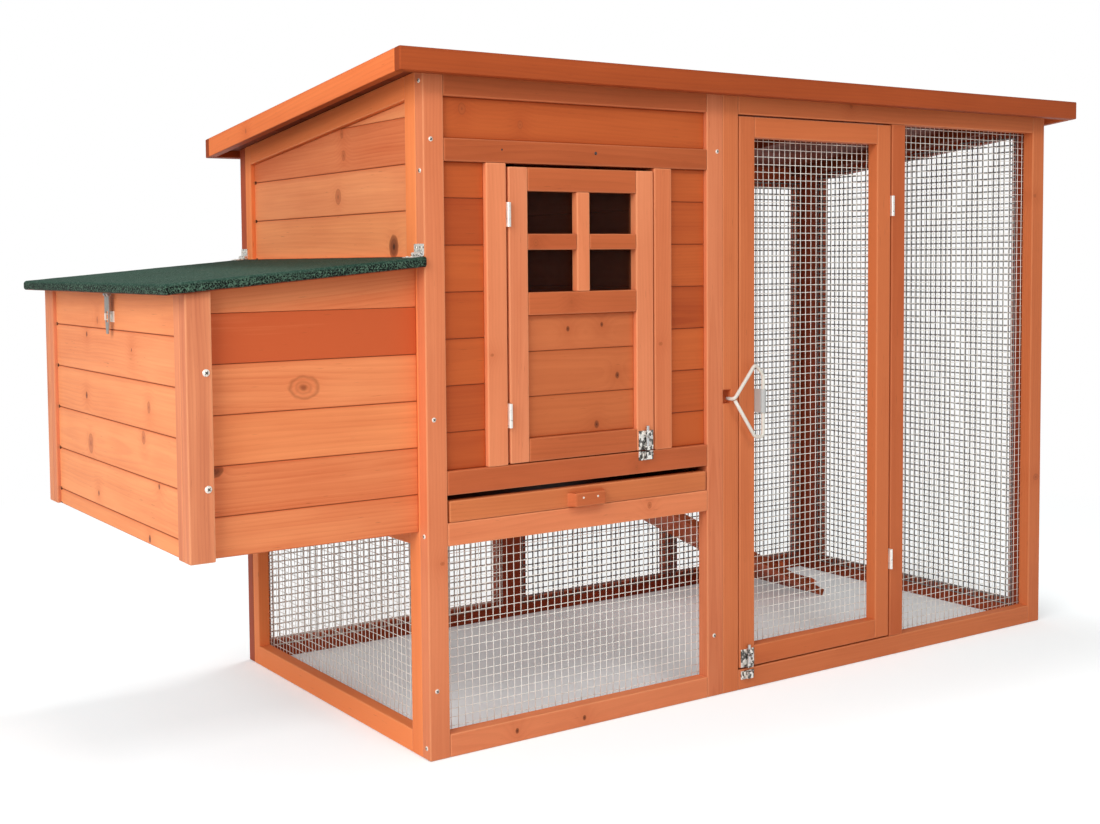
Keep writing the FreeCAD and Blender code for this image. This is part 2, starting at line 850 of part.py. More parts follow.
save("lid_hinge_wall_leaves", wall_leaves)
save("lid_hinge_lid_leaves", lid_leaves)

# House door
door_bottom = sill_top + door_bottom_gap
door_top = head_bottom - door_top_gap
door_inner_left = door_left + stile_width
door_inner_right = door_right - stile_width
panel_bottom = door_bottom + house_door_bottom_rail
panel_top = door_bottom + house_door_mid_share * (door_top - door_bottom)
window_bottom = panel_top + house_door_mid_rail
window_top = door_top - house_door_top_rail
house_door = [
    block(door_left, door_inner_left, 0, house_door_thick, door_bottom, door_top),
    block(door_inner_right, door_right, 0, house_door_thick, door_bottom, door_top),
]
for low, high in ((door_bottom, panel_bottom), (panel_top, window_bottom), (window_top, door_top)):
    house_door.append(block(door_inner_left, door_inner_right, 0, house_door_thick, low, high))
save("house_door_frame", house_door)
door_board_back = board_setback + door_board_thick
door_panels = []
for low, high in board_rows(panel_bottom, panel_top, house_door_first_board):
    door_panels.append(block(door_inner_left, door_inner_right, board_setback, door_board_back,
                             low, high))
save("house_door_boards", door_panels)
door_middle = (door_left + door_right) / 2
window_middle = (window_bottom + window_top) / 2
half_muntin = muntin_width / 2
muntins = [
    block(door_middle - half_muntin, door_middle + half_muntin, 0, muntin_thick, window_bottom,
          window_top),
    block(door_inner_left, door_middle - half_muntin, 0, muntin_thick,
          window_middle - half_muntin, window_middle + half_muntin),
    block(door_middle + half_muntin, door_inner_right, 0, muntin_thick,
          window_middle - half_muntin, window_middle + half_muntin),
]
save("house_door_muntins", muntins)
save("house_door_pane", [
    block(door_inner_left, door_inner_right, muntin_thick, muntin_thick + pane_thick,
          window_bottom, window_top),
])
house_axis_x = (jamb_left_edge + door_left) / 2
half_gap = door_hinge_gap / 2
jamb_leaves = []
door_leaves = []
for height in (door_bottom + house_hinge_low, door_top - house_hinge_drop - hinge_height):
    origin = Vector(house_axis_x, -hinge_offset, height)
    jamb_leaves.append(hinge_leaf(origin, along_y, up, half_gap - leaf_thick, half_gap,
                                  hinge_leaf_reach, hinge_height, "outer"))
    door_leaves.append(hinge_leaf(origin, along_y, up, -half_gap, leaf_thick - half_gap,
                                  hinge_leaf_reach, hinge_height, "middle"))
    pins.append(hinge_pin(origin, up, hinge_height))
save("house_door_hinge_jamb_leaves", jamb_leaves)
save("house_door_hinge_door_leaves", door_leaves)
house_bolt_x = door_right - bolt_stile_inset
house_bolt_plate, house_bolt_rod = slide_bolt(house_bolt_x, door_bottom)
save("house_bolt_plate", [house_bolt_plate])
save("house_bolt_rod", [house_bolt_rod])
save("house_bolt_keeper", [bolt_keeper(house_bolt_x, sill_top)])

# Run door
run_door_left = run_opening_left + door_free_gap
run_door_right = run_door_left + run_door_width
run_door_bottom = bottom_rail + run_door_bottom_gap
run_door_top = front_rail_bottom - run_door_top_gap
run_door_inner_left = run_door_left + stile_width
run_door_inner_right = run_door_right - stile_width
run_door_inner_bottom = run_door_bottom + stile_width
run_door_inner_top = run_door_top - stile_width
save("run_door_frame", [
    block(run_door_left, run_door_inner_left, 0, run_door_thick, run_door_bottom, run_door_top),
    block(run_door_inner_right, run_door_right, 0, run_door_thick, run_door_bottom, run_door_top),
    block(run_door_inner_left, run_door_inner_right, 0, run_door_thick, run_door_bottom,
          run_door_inner_bottom),
    block(run_door_inner_left, run_door_inner_right, 0, run_door_thick, run_door_inner_top,
          run_door_top),
])
save("run_door_mesh", mesh_panel(run_door_inner_left - mesh_lap, run_door_inner_right + mesh_lap,
                                 run_door_inner_bottom - mesh_lap,
                                 level(run_door_inner_top + mesh_lap), facing_front,
                                 run_door_thick))
run_axis_x = (run_door_right + run_fixed_stile) / 2
post_leaves = []
run_leaves = []
for height in (run_door_bottom + run_hinge_low, run_door_top - run_hinge_drop - hinge_height):
    origin = Vector(run_axis_x, -hinge_offset, height)
    post_leaves.append(hinge_leaf(origin, along_y, up, -half_gap, leaf_thick - half_gap,
                                  hinge_leaf_reach, hinge_height, "outer"))
    run_leaves.append(hinge_leaf(origin, along_y, up, half_gap - leaf_thick, half_gap,
                                 hinge_leaf_reach, hinge_height, "middle"))
    pins.append(hinge_pin(origin, up, hinge_height))
save("run_door_hinge_post_leaves", post_leaves)
save("run_door_hinge_door_leaves", run_leaves)
run_bolt_x = run_door_left + bolt_stile_inset
run_bolt_plate, run_bolt_rod = slide_bolt(run_bolt_x, run_door_bottom)
save("run_bolt_plate", [run_bolt_plate])
save("run_bolt_rod", [run_bolt_rod])
save("run_bolt_keeper", [bolt_keeper(run_bolt_x, bottom_rail - run_keeper_drop)])

# Wire latch: a loop that turns in a sleeve on the door and drops its tail into the notch
latch_x = run_door_inner_left + latch_axis_overhang
latch_y = -latch_stand_off
apex_x = latch_x - latch_apex_reach
loop = [
    Vector(latch_x, latch_y, latch_low),
    Vector(latch_x, latch_y, latch_high - latch_shoulder),
    Vector(latch_x - latch_shoulder, latch_y, latch_high),
    Vector(apex_x, latch_y, latch_apex_height),
    Vector(latch_x - latch_shoulder, latch_y, latch_low),
]
tail_end = Vector(apex_x, latch_y + latch_tail_depth, latch_apex_height)
segments = list(zip(loop, loop[1:] + loop[:1])) + [(loop[3], tail_end)]
latch = Part.makeSphere(latch_wire_radius, loop[0])
for start, end in segments:
    latch = latch.fuse(rod(start, end, latch_wire_radius))
for corner in loop[1:]:
    latch = latch.fuse(Part.makeSphere(latch_wire_radius, corner))
save("wire_latch", [latch])
sleeve_foot = Vector(latch_x, latch_y, latch_bracket_low)
sleeve_bore = latch_wire_radius + latch_bore_clearance
half_bracket = latch_bracket_thick / 2
latch_bracket_top = latch_bracket_low + latch_bracket_height
bracket_plate = block(run_door_inner_left, run_door_inner_left + latch_bracket_thick, latch_y,
                      latch_bracket_depth, latch_bracket_low, latch_bracket_top)
bracket_web = block(run_door_inner_left, latch_x, latch_y - half_bracket, latch_y + half_bracket,
                    latch_bracket_low, latch_bracket_top)
sleeve = Part.makeCylinder(sleeve_bore + latch_sleeve_wall, latch_bracket_height, sleeve_foot)
latch_bracket = bracket_plate.fuse(bracket_web).fuse(sleeve).removeSplitter()
latch_bracket = latch_bracket.cut(Part.makeCylinder(sleeve_bore, latch_bracket_height, sleeve_foot))
save("latch_bracket", [latch_bracket])

# Tray that slides out at the front
tray_left = house_inner_left + tray_side_gap
tray_right = house_inner_right - tray_side_gap
tray_bottom = low_rail_top + tray_clearance
tray_rear = rear_inner - tray_rear_gap
tray_base_top = tray_bottom + tray_base_thick
tray_rim_top = tray_base_top + tray_rim_height
save("tray_front", [
    block(tray_left, tray_right, 0, tray_front_thick, tray_bottom, tray_bottom + tray_front_height),
])
save("tray_base", [
    block(tray_left, tray_right, tray_front_thick, tray_rear, tray_bottom, tray_base_top),
])
save("tray_rims", [
    block(tray_left, tray_left + tray_rim_thick, tray_front_thick, tray_rear, tray_base_top,
          tray_rim_top),
    block(tray_right - tray_rim_thick, tray_right, tray_front_thick, tray_rear, tray_base_top,
          tray_rim_top),
    block(tray_left + tray_rim_thick, tray_right - tray_rim_thick, tray_rear - tray_rim_thick,
          tray_rear, tray_base_top, tray_rim_top),
])
handle_middle = (tray_left + tray_right) / 2
handle_left = handle_middle - handle_width / 2
handle_right = handle_middle + handle_width / 2
handle_low = tray_bottom + handle_rise
handle_face = [Vector(handle_left, 0, handle_low), Vector(handle_right, 0, handle_low),
               Vector(handle_right - handle_bevel, -handle_depth, handle_low),
               Vector(handle_left + handle_bevel, -handle_depth, handle_low)]
save("tray_handle", [face_of(handle_face).extrude(Vector(0, 0, handle_height))])

# Ramp from the pop hole down into the run, hinged under the pop hole
slope = math.radians(ramp_slope)
down = Vector(math.cos(slope), 0, -math.sin(slope))
ramp_up = Vector(math.sin(slope), 0, math.cos(slope))
ramp_rear = rear_inner - ramp_rear_gap
ramp_front = ramp_rear - ramp_width
ramp_top_height = low_rail_top + ramp_rise
ramp_wall_gap = hinge_offset * (1 - math.sin(slope))
ramp_start = Vector(partition_right + ramp_wall_gap, ramp_front, ramp_top_height)
ramp_drop = ramp_top_height - ramp_thick * math.cos(slope) - ramp_foot_gap
ramp_length = ramp_drop / math.sin(slope)
ramp_along = Vector(0, 1, 0)


def on_ramp(start, length, y0, y1, low, high):
    """A block on the ramp: start and length down the slope, low and high above its top face."""
    corner = ramp_start + down * start + ramp_up * low + ramp_along * y0
    edges = [down * length, ramp_up * (high - low)]
    points = [corner, corner + edges[0], corner + edges[0] + edges[1], corner + edges[1]]
    return face_of(points).extrude(ramp_along * (y1 - y0))


save("ramp_board", [on_ramp(0, ramp_length, 0, ramp_width, -ramp_thick, 0)])
cleat_pitch = ramp_length / cleats
save("ramp_cleats", [
    on_ramp((index + 0.5) * cleat_pitch, cleat_width, 0, ramp_width, 0, cleat_height)
    for index in range(cleats)
])
ramp_pin = ramp_start + ramp_up * hinge_offset
fixed_leaves = []
ramp_leaves = []
for start in (ramp_hinge_inset, ramp_width - ramp_hinge_inset - hinge_height):
    origin = ramp_pin + ramp_along * start
    fixed_leaves.append(hinge_leaf(origin, up, along_y, -hinge_offset, leaf_thick - hinge_offset,
                                   hinge_leaf_reach, hinge_height, "outer"))
    ramp_leaves.append(hinge_leaf(origin, down, along_y, hinge_offset - leaf_thick, hinge_offset,
                                  hinge_leaf_reach, hinge_height, "middle"))
    pins.append(hinge_pin(origin, along_y, hinge_height))
save("ramp_hinge_wall_leaves", fixed_leaves)
save("ramp_hinge_ramp_leaves", ramp_leaves)
save("hinge_pins", pins)

# Strap that hangs from the lid's edge, its bracket and the staple on the nest's end
strap_middle = divider_middle - strap_off_centre
strap_x = end_board_left - strap_stand_off
strap_top = lid_under(strap_x)
strap_pin_drop = strap_plate_thick + strap_knuckle_radius + strap_knuckle_gap
strap_pin_z = strap_top - strap_pin_drop / math.cos(lid_angle)
half_knuckle = strap_knuckle_width / 2
bracket_half = strap_width / 2
bracket_right = end_board_left - strap_bracket_gap
bracket = lid_slab(bracket_right - strap_width, bracket_right, strap_middle - bracket_half,
                   strap_middle + bracket_half, lid_drop, lid_drop + strap_plate_thick)
pin_start = Vector(strap_x, strap_middle - bracket_half, strap_pin_z)
pin_end = Vector(strap_x, strap_middle + bracket_half, strap_pin_z)
bracket_lug = block(strap_x - strap_pin_radius, strap_x + strap_pin_radius,
                    strap_middle - half_knuckle, strap_middle + half_knuckle, strap_pin_z,
                    strap_top - strap_plate_thick / 2)
strap_pin = rod(pin_start, pin_end, strap_pin_radius)
bracket = bracket.fuse(bracket_lug).fuse(strap_pin).removeSplitter()
save("strap_bracket", [bracket])
tip = strap_pin_z - strap_length
shoulder = strap_pin_z - strap_length / 2
half_strap = strap_width / 2
half_tip = strap_tip_width / 2
strap_outline = [
    (strap_middle - half_strap, strap_pin_z), (strap_middle - half_strap, shoulder),
    (strap_middle - half_tip, tip), (strap_middle + half_tip, tip),
    (strap_middle + half_strap, shoulder), (strap_middle + half_strap, strap_pin_z),
]
strap = slab_x(strap_outline, strap_x - strap_thick / 2, strap_x + strap_thick / 2)
for side in (-1, 1):
    inner = strap_middle + side * (half_knuckle + strap_knuckle_gap)
    outer = strap_middle + side * half_strap
    strap = strap.fuse(rod(Vector(strap_x, inner, strap_pin_z), Vector(strap_x, outer, strap_pin_z),
                           strap_knuckle_radius))
eye_room = strap_knuckle_radius + strap_knuckle_gap
centre_room = half_knuckle + strap_knuckle_gap
strap = strap.cut(block(strap_x - eye_room, strap_x + eye_room, strap_middle - centre_room,
                        strap_middle + centre_room, strap_pin_z - eye_room, strap_top))
strap = strap.cut(rod(pin_start, pin_end, strap_pin_radius + strap_pin_clearance))
slot_middle = strap_pin_z - strap_slot_drop
strap = strap.cut(block(strap_x - strap_thick, strap_x + strap_thick,
                        strap_middle - strap_slot_width / 2, strap_middle + strap_slot_width / 2,
                        slot_middle - strap_slot_height / 2, slot_middle + strap_slot_height / 2))
save("lid_strap", [strap.removeSplitter()])
staple_base = end_board_left
half_plate = staple_plate_size / 2
staple = block(staple_base - strap_plate_thick, staple_base, strap_middle - half_plate,
               strap_middle + half_plate, slot_middle - half_plate, slot_middle + half_plate)
staple_tip = staple_base - staple_reach
half_staple = (staple_gap + staple_wire) / 2
for side in (-1, 1):
    foot = Vector(staple_base, strap_middle, slot_middle + side * half_staple)
    staple = staple.fuse(rod(foot, Vector(staple_tip, foot.y, foot.z), staple_wire / 2))
bridge = block(staple_tip - staple_wire / 2, staple_tip + staple_wire / 2,
               strap_middle - staple_wire / 2, strap_middle + staple_wire / 2,
               slot_middle - half_staple - staple_wire / 2, slot_middle + half_staple + staple_wire / 2)
save("strap_staple", [staple.fuse(bridge).removeSplitter()])

# Screws in the front and side stiles, and washer-headed ones in the nest's post
screws = []
for x, z in left_stile_screws + right_stile_screws:
    head = rod(Vector(x, 0, z), Vector(x, -screw_head_height, z), screw_head_radius)
    screws.append(head.fuse(rod(Vector(x, 0, z), Vector(x, screw_length, z), screw_shank_radius)))
for y, z in side_screws:
    head = rod(Vector(0, y, z), Vector(-screw_head_height, y, z), screw_head_radius)
    screws.append(head.fuse(rod(Vector(0, y, z), Vector(screw_length, y, z), screw_shank_radius)))
washer_face = nest_front - washer_thick
for x, z in post_screws:
    washer = rod(Vector(x, nest_front, z), Vector(x, washer_face, z), washer_radius)
    head = rod(Vector(x, washer_face, z), Vector(x, washer_face - screw_head_height, z),
               screw_head_radius)
    shank = rod(Vector(x, nest_front, z), Vector(x, nest_front + screw_length, z),
                screw_shank_radius)
    screws.append(washer.fuse(head).fuse(shank))
save("screws", screws)
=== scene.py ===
import json
import math
import random

import bmesh
import bpy
import numpy as np
from mathutils import Matrix, Vector, noise


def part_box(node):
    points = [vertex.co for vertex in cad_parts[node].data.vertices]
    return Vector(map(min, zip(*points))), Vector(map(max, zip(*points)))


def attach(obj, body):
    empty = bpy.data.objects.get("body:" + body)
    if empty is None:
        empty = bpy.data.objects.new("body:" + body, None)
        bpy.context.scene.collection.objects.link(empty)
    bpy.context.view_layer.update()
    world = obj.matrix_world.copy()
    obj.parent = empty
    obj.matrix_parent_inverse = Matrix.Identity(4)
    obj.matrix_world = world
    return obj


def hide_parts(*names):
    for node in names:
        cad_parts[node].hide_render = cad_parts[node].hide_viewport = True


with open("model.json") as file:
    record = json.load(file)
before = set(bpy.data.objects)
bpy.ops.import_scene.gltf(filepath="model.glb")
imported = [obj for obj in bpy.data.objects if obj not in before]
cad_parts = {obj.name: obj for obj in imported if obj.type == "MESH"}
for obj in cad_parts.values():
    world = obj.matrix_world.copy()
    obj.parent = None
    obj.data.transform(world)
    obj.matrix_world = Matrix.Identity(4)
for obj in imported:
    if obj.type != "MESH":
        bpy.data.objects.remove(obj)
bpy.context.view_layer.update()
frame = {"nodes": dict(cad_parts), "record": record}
nodes = frame["nodes"]
record = frame["record"]
bodies = record["behaviour"]["bodies"]
body_of = {node: body for body, members in bodies.items() for node in members}
slot_of = {part["node"]: part["material_slot"] for part in record["subparts"]}
chance = random.Random(7)
mm = 0.001

# Camera as in the photograph
camera_place = Vector((-1.5543, -2.0311, 0.7202))
camera_yaw = math.radians(32.62)
camera_pitch = math.radians(3.165)
camera_roll = math.radians(-0.606)
camera_lens = 46.13
camera_shift = (0.0718, -0.0666)

# Finish colours: each stain is a light, a warm and a deep tone
stains = {
    "nest": ("FBA36D", "F5985F", "C85A2E"),
    "front_board": ("CC6530", "C25B28", "A13F19"),
    "door_board": ("CF7243", "C86B3A", "AA4F25"),
    "stile": ("ED9367", "E88758", "C6643A"),
    "run": ("DC7D4C", "D77341", "B7542A"),
    "post": ("E79468", "DC835A", "A94F33"),
    "side": ("FB9053", "F48448", "D1602D"),
    "fascia_side": ("F58549", "EF7A3F", "CC5827"),
    "front_rail": ("CE6C3D", "C26136", "99441F"),
    "rail": ("E2854F", "DA7A46", "B6592F"),
    "fascia": ("B35123", "AA491D", "84330F"),
    # rear and inside are darker copies of the stain, painted shade for the rear frames and the
    # cabin's inner faces
    "rear": ("BC5935", "B24F2E", "86321A"),
    "inside": ("873E24", "7D361F", "512012"),
    # ramp is a brighter copy of the stain, painted light on the ramp in the house's shade
    "ramp": ("FF814A", "F3733F", "B14A26"),
}
knot_brown = "7A3A1C"
knot_rust = "B45A2E"
felt_green = "1F4034"
felt_pale = "607E6C"
felt_blotch_and_valley_shade = "050D09"
felt_crest_highlight = "5F806A"
wire_pale = "FBF7EE"
shaded_wire_grey = "9C9C9A"
latch_white = "DEDACF"
joint_brown = "8A3F1A"
knot_core_and_gap_shade = "1A0B06"
arris_highlight_gold = "FBBE8C"

# Sizes of the boards' finish, of the painted highlight on arrises and of the painted shade on
# boards
board_round = 1.8 * mm
frame_round = 2.2 * mm
sharp_angle = 0.4
arris_highlight_width = 2.6 * mm
lap_shade = 7 * mm
edge_shade = 2.4 * mm
joint_line = 0.7 * mm
end_grain_depth = 0.4 * mm
loose_gap = (8.5 * mm, 2.6 * mm)
long_board = 250 * mm
in_sight_depth = 50 * mm
knot_chance = 0.28
ringed_knot = 13.5 * mm

# Sizes of the mesh wires, the latch and the felt
mesh_pitch = 12.7 * mm
wire_radius = 0.58 * mm
rear_wire_radius = 1.4 * mm
wire_stray = 0.25 * mm
wire_step = 50 * mm
latch_wire_radius = 3.0 * mm
latch_bend = 7 * mm
latch_shoulder = 18 * mm
lid_felt_depth = 15.05 * mm
lid_edge_round = 5 * mm
lid_hem = 9 * mm
lid_felt_step = 9 * mm
roof_felt_step = 16 * mm
felt_lap = 60 * mm
felt_strip_thick = 1.2 * mm

# Sizes of hinges, screws and nails
hinge_leaf_length = 26 * mm
hinge_leaf_thick = 1.2 * mm
hinge_leaf_shares = (0.24, 0.76)
wall_screw_drop = 5.5 * mm
lid_screw_inset = 5 * mm
leaf_screw_radius = 2.1 * mm
screw_head_thick = 1.2 * mm
nest_screw_radius = 3.8 * mm
washer_thick = 1.0 * mm
widest_bare_screw = 8 * mm
roof_nails = 15
roof_nail_edge = 14 * mm
roof_nail_end = 20 * mm
roof_nail_radius = 4 * mm
head_nail_rise = 24 * mm
handle_nail_rise = 3 * mm
handle_nail_radius = 1.7 * mm
nail_seat = 0.05 * mm
metal_edge = 0.15 * mm

# Floor: its own light, the painted shadow kept under the house, and where it fades to white
floor_tint = (0.80, 0.82, 0.83, 1)
floor_glow_tint = (0.94, 0.99, 1.0, 1)
floor_glow = 0.37
painted_shade_share = 0.4
fade_start = 1.45
fade_length = 0.9
floor_reach = 14
floor_drop = 0.3 * mm
sky_tint = (1.0, 0.99, 0.975, 1)
sky_strength = 0.42
pure_white = (1, 1, 1, 1)

# Soft lights: place, target, size and watts
soft_boxes = {
    "left_box": ((-3.2, -1.5, 2.0), (-0.3, 0, 0.5), 2.2, 83),
    "front_box": ((-0.35, -2.6, 3.1), (0, 0, 0.5), 0.9, 28),
    "top_box": ((0.7, 0.55, 4.2), (0, 0, 0.3), 0.9, 66),
}


def colour(code):
    """A colour code as linear red, green, blue and a full alpha."""
    shown = [int(code[i:i + 2], 16) / 255 for i in (0, 2, 4)]
    linear = [c / 12.92 if c <= 0.04045 else ((c + 0.055) / 1.055) ** 2.4 for c in shown]
    return tuple(linear) + (1.0,)


class Socket:
    """A shader socket that works in Python expressions."""

    def __init__(self, shader, link):
        self.shader = shader
        self.link = link

    def math(self, operation, *values):
        sockets = dict(enumerate((self,) + values))
        return self.shader.node("Math", {"operation": operation}, sockets)

    def __add__(self, other):
        return self.math("ADD", other)

    __radd__ = __add__

    def __sub__(self, other):
        return self.math("SUBTRACT", other)

    def __rsub__(self, other):
        return self.shader.node("Math", {"operation": "SUBTRACT"}, {0: other, 1: self})

    def __mul__(self, other):
        return self.math("MULTIPLY", other)

    def __truediv__(self, other):
        return self.math("DIVIDE", other)

    def __pow__(self, other):
        return self.math("POWER", other)

    def __gt__(self, other):
        return self.math("GREATER_THAN", other)

    def __lt__(self, other):
        return self.math("LESS_THAN", other)

    def __abs__(self):
        return self.math("ABSOLUTE")

    def root(self):
        return self.math("SQRT")

    def fraction(self):
        return self.math("FRACT")

    def sine(self):
        return self.math("SINE")

    def least(self, other):
        return self.math("MINIMUM", other)

    def most(self, other):
        return self.math("MAXIMUM", other)

    def clamped(self):
        return self.most(0.0).least(1.0)

    def other(self, name):
        """Another output of the same node."""
        return Socket(self.shader, self.link.node.outputs[name])


class Shader:
    """A material and the nodes that make its look."""

    def __init__(self, name="look"):
        self.material = bpy.data.materials.new(name)
        self.material.use_nodes = True
        self.tree = self.material.node_tree
        self.tree.nodes.clear()

    def node(self, kind, settings=None, sockets=None, output=None):
        node = self.tree.nodes.new("ShaderNode" + kind)
        for name, value in (settings or {}).items():
            setattr(node, name, value)
        for name, value in (sockets or {}).items():
            socket = self.find(node.inputs, name)
            if isinstance(value, Socket):
                self.tree.links.new(value.link, socket)
            else:
                socket.default_value = value
        if output is None:
            out = next(o for o in node.outputs if o.enabled)
        else:
            out = self.find(node.outputs, output)
        return Socket(self, out)

    def find(self, sockets, name):
        if isinstance(name, int):
            return sockets[name]
        return next(s for s in sockets if s.enabled and name in (s.name, s.identifier))

    def attribute(self, name):
        return self.node("Attribute", {"attribute_name": name}, output="Vector")

    def parts(self, vector):
        split = self.node("SeparateXYZ", sockets={0: vector})
        return split, split.other("Y"), split.other("Z")

    def vector(self, x, y, z):
        return self.node("CombineXYZ", sockets={0: x, 1: y, 2: z})

    def stretched(self, vector, factors):
        return self.node("VectorMath", {"operation": "MULTIPLY"}, {0: vector, 1: factors})

    def noise(self, vector, scale=1.0, detail=2.0, roughness=0.5):
        return self.node("TexNoise", sockets={"Vector": vector, "Scale": scale, "Detail": detail,
                                              "Roughness": roughness})

    def cells(self, vector, scale):
        """Distance from a cell's middle, and the cell's own chance value."""
        away = self.node("TexVoronoi", sockets={"Vector": vector, "Scale": scale})
        return away, self.parts(away.other("Color"))[0]

    def mix(self, factor, first, second):
        return self.node("Mix", {"data_type": "RGBA"},
                         {"Factor_Float": factor, "A_Color": first, "B_Color": second},
                         "Result_Color")

    def bump(self, height, distance, strength):
        return self.node("Bump", sockets={"Height": height, "Distance": distance,
                                          "Strength": strength})

    def finish(self, **sockets):
        names = {name.replace("_", " "): value for name, value in sockets.items()}
        surface = self.node("BsdfPrincipled", sockets=names)
        self.node_output(surface)
        return self.material

    def node_output(self, surface):
        output = self.tree.nodes.new("ShaderNodeOutputMaterial")
        self.tree.links.new(surface.link, output.inputs["Surface"])


def knot_of(shader, name, along, across):
    """One of a board's knots: share of its radius, distance, and 1 if there, dark, or ringed."""
    place_x, place_y, signed_size = shader.parts(shader.attribute(name))
    size = abs(signed_size)
    ringed = size > ringed_knot
    off_x = along - place_x
    off_y = (across - place_y) * (0.75 + ringed * 0.7)
    away = (off_x * off_x + off_y * off_y).root()
    return away / size.most(0.0005), away, size > 0.0, signed_size < 0.0, ringed


def stained_wood(stain, ring_pitch=5.0, arris_highlight=0.0, streaks=0.5, joint=0.62, loose_ends=False):
    """Stained softwood with its grain along each board.

    Boards carry their own place, half size, seeds, tone and up to two knots. Loose ends are
    the small gaps where long boards' tongues stop short of a stile, painted dark as shade.
    Frames get a painted highlight on their arrises; boards get painted shade under their laps
    and along their edges.
    """
    light, warm, deep = (colour(code) for code in stains[stain])
    shader = Shader()
    along, across, deep_in = shader.parts(shader.attribute("board_at"))
    half_long, half_wide, half_deep = shader.parts(shader.attribute("board_half"))
    luck, second_luck, board_tone = shader.parts(shader.attribute("board_seed"))
    x = along + luck * 31
    y = across + second_luck * 17
    z = deep_in + luck * 9

    wobble = shader.noise(shader.vector(x * 60, y * 60, z * 60), 1.0, 2.0)
    core, halo, rim_line, eyes = 0.0, 0.0, 0.0, 0.0
    for knot in ("knot_a", "knot_b"):
        share, away, there, dark, ringed = knot_of(shader, knot, along, across)
        share = share + (wobble - 0.5) * 0.35
        inside = ((1.1 - share) * 2.6).clamped() * there
        core = inside * (1 - ringed * 0.85) + core
        halo = ((1 - away * 28).clamped() ** 2) * there + halo
        line = (1 - abs(share - 0.95) * 6).clamped() * there
        rings = ((share * 16).sine() * 0.5 + 0.5) * inside * ringed
        rim_line = line * 0.8 + rings * 0.45 + rim_line
        eyes = (1 - share * 2.6).clamped() * there + inside * dark * 1.2 + eyes

    wander = shader.noise(shader.vector(x * 1.2, y * 5, z * 5), 1.0, 2.0)
    ripple = shader.noise(shader.vector(x * 7, y * 36, z * 36), 1.0, 2.0)
    from_heart = across + (luck - 0.5) * 0.16
    below = deep_in + 0.015 + second_luck * 0.07
    growth = (from_heart * from_heart + below * below).root() + wander * 0.05 + ripple * 0.003
    growth = growth + halo * 0.012
    ring = (growth / (ring_pitch * mm)).fraction()
    late_wood = (ring ** 2.2) * (1 - ring ** 10)
    ring_strength = shader.noise(shader.vector(x * 2.0, y * 22, z * 22), 1.0, 2.0)
    late_wood = late_wood * (ring_strength * 2.2 - 0.45).clamped()

    fibre = shader.noise(shader.vector(x * 12, y * 420, z * 420), 1.0, 3.0, 0.6)
    streak = shader.noise(shader.vector(x * 2.4, y * 60, z * 60), 1.0, 2.0)
    blotch = shader.noise(shader.vector(x * 4.5, y * 9, z * 9), 1.0, 3.0)
    fleck = shader.noise(shader.vector(x * 34, y * 520, z * 520), 1.0, 1.0)
    dash = ((fleck - 0.72) * 12).clamped() * (ring_strength > 0.45)

    body = shader.mix(second_luck, light, warm)
    grain_tone = late_wood * 0.26 + (fibre - 0.5) * 0.24 + (streak - 0.5) * streaks
    tone = (grain_tone + (blotch - 0.5) * 0.6 + board_tone + 0.12).clamped()
    stained = shader.mix(tone, body, deep)
    stained = shader.mix(dash * 0.35, stained, colour(knot_brown))
    stained = shader.mix((halo * 0.35).clamped(), stained, deep)
    stained = shader.mix((core * 0.55).clamped(), stained, colour(knot_rust))
    stained = shader.mix((rim_line * 0.4 + eyes * 0.6).clamped(), stained, colour(knot_brown))
    stained = shader.mix(((eyes - 1) * 0.7).clamped(), stained, colour(knot_core_and_gap_shade))

    to_end = half_long - abs(along)
    to_side = half_wide - abs(across)
    to_face = half_deep - abs(deep_in)
    arris = to_end.least(to_side).most(to_end.most(to_side).least(to_face))
    rim = (1 - arris / arris_highlight_width).clamped()
    # Painted highlight along the arrises of frames
    if arris_highlight:
        stained = shader.mix(rim * arris_highlight, stained, colour(arris_highlight_gold))
    else:
        # Painted shadow under each board's upper edge, where the board above laps it, and painted
        # shade along both long edges
        painted_lap_shadow = (1 - (half_wide - across) / lap_shade).clamped()
        stained = shader.mix(painted_lap_shadow * 0.3, stained, deep)
        stained = shader.mix((1 - to_side / edge_shade).clamped() * 0.6, stained, deep)
        in_joint = (1.6 - to_side / joint_line).clamped()
        stained = shader.mix(in_joint * joint, stained, colour(joint_brown))
    end_grain = to_end < end_grain_depth
    stained = shader.mix(end_grain * 0.45, stained, deep)

    height = fibre * 0.4 + late_wood * 0.3 - dash * 0.4 - core * 0.3
    # Painted shade in the small gaps where long boards stop short of a stile
    if loose_ends:
        at_end = (to_end < loose_gap[0]) * (along > 0) * (half_long > long_board)
        gap = at_end * (to_side < loose_gap[1])
        stained = shader.mix(gap * 0.95, stained, colour(knot_core_and_gap_shade))
        height = height - gap * 3
    return shader.finish(
        Base_Color=stained,
        Roughness=0.58 - late_wood * 0.08 + (fibre - 0.5) * 0.16 - (core * 0.1).clamped(),
        Specular_IOR_Level=0.22,
        Normal=shader.bump(height, 0.3 * mm, 0.5),
    )


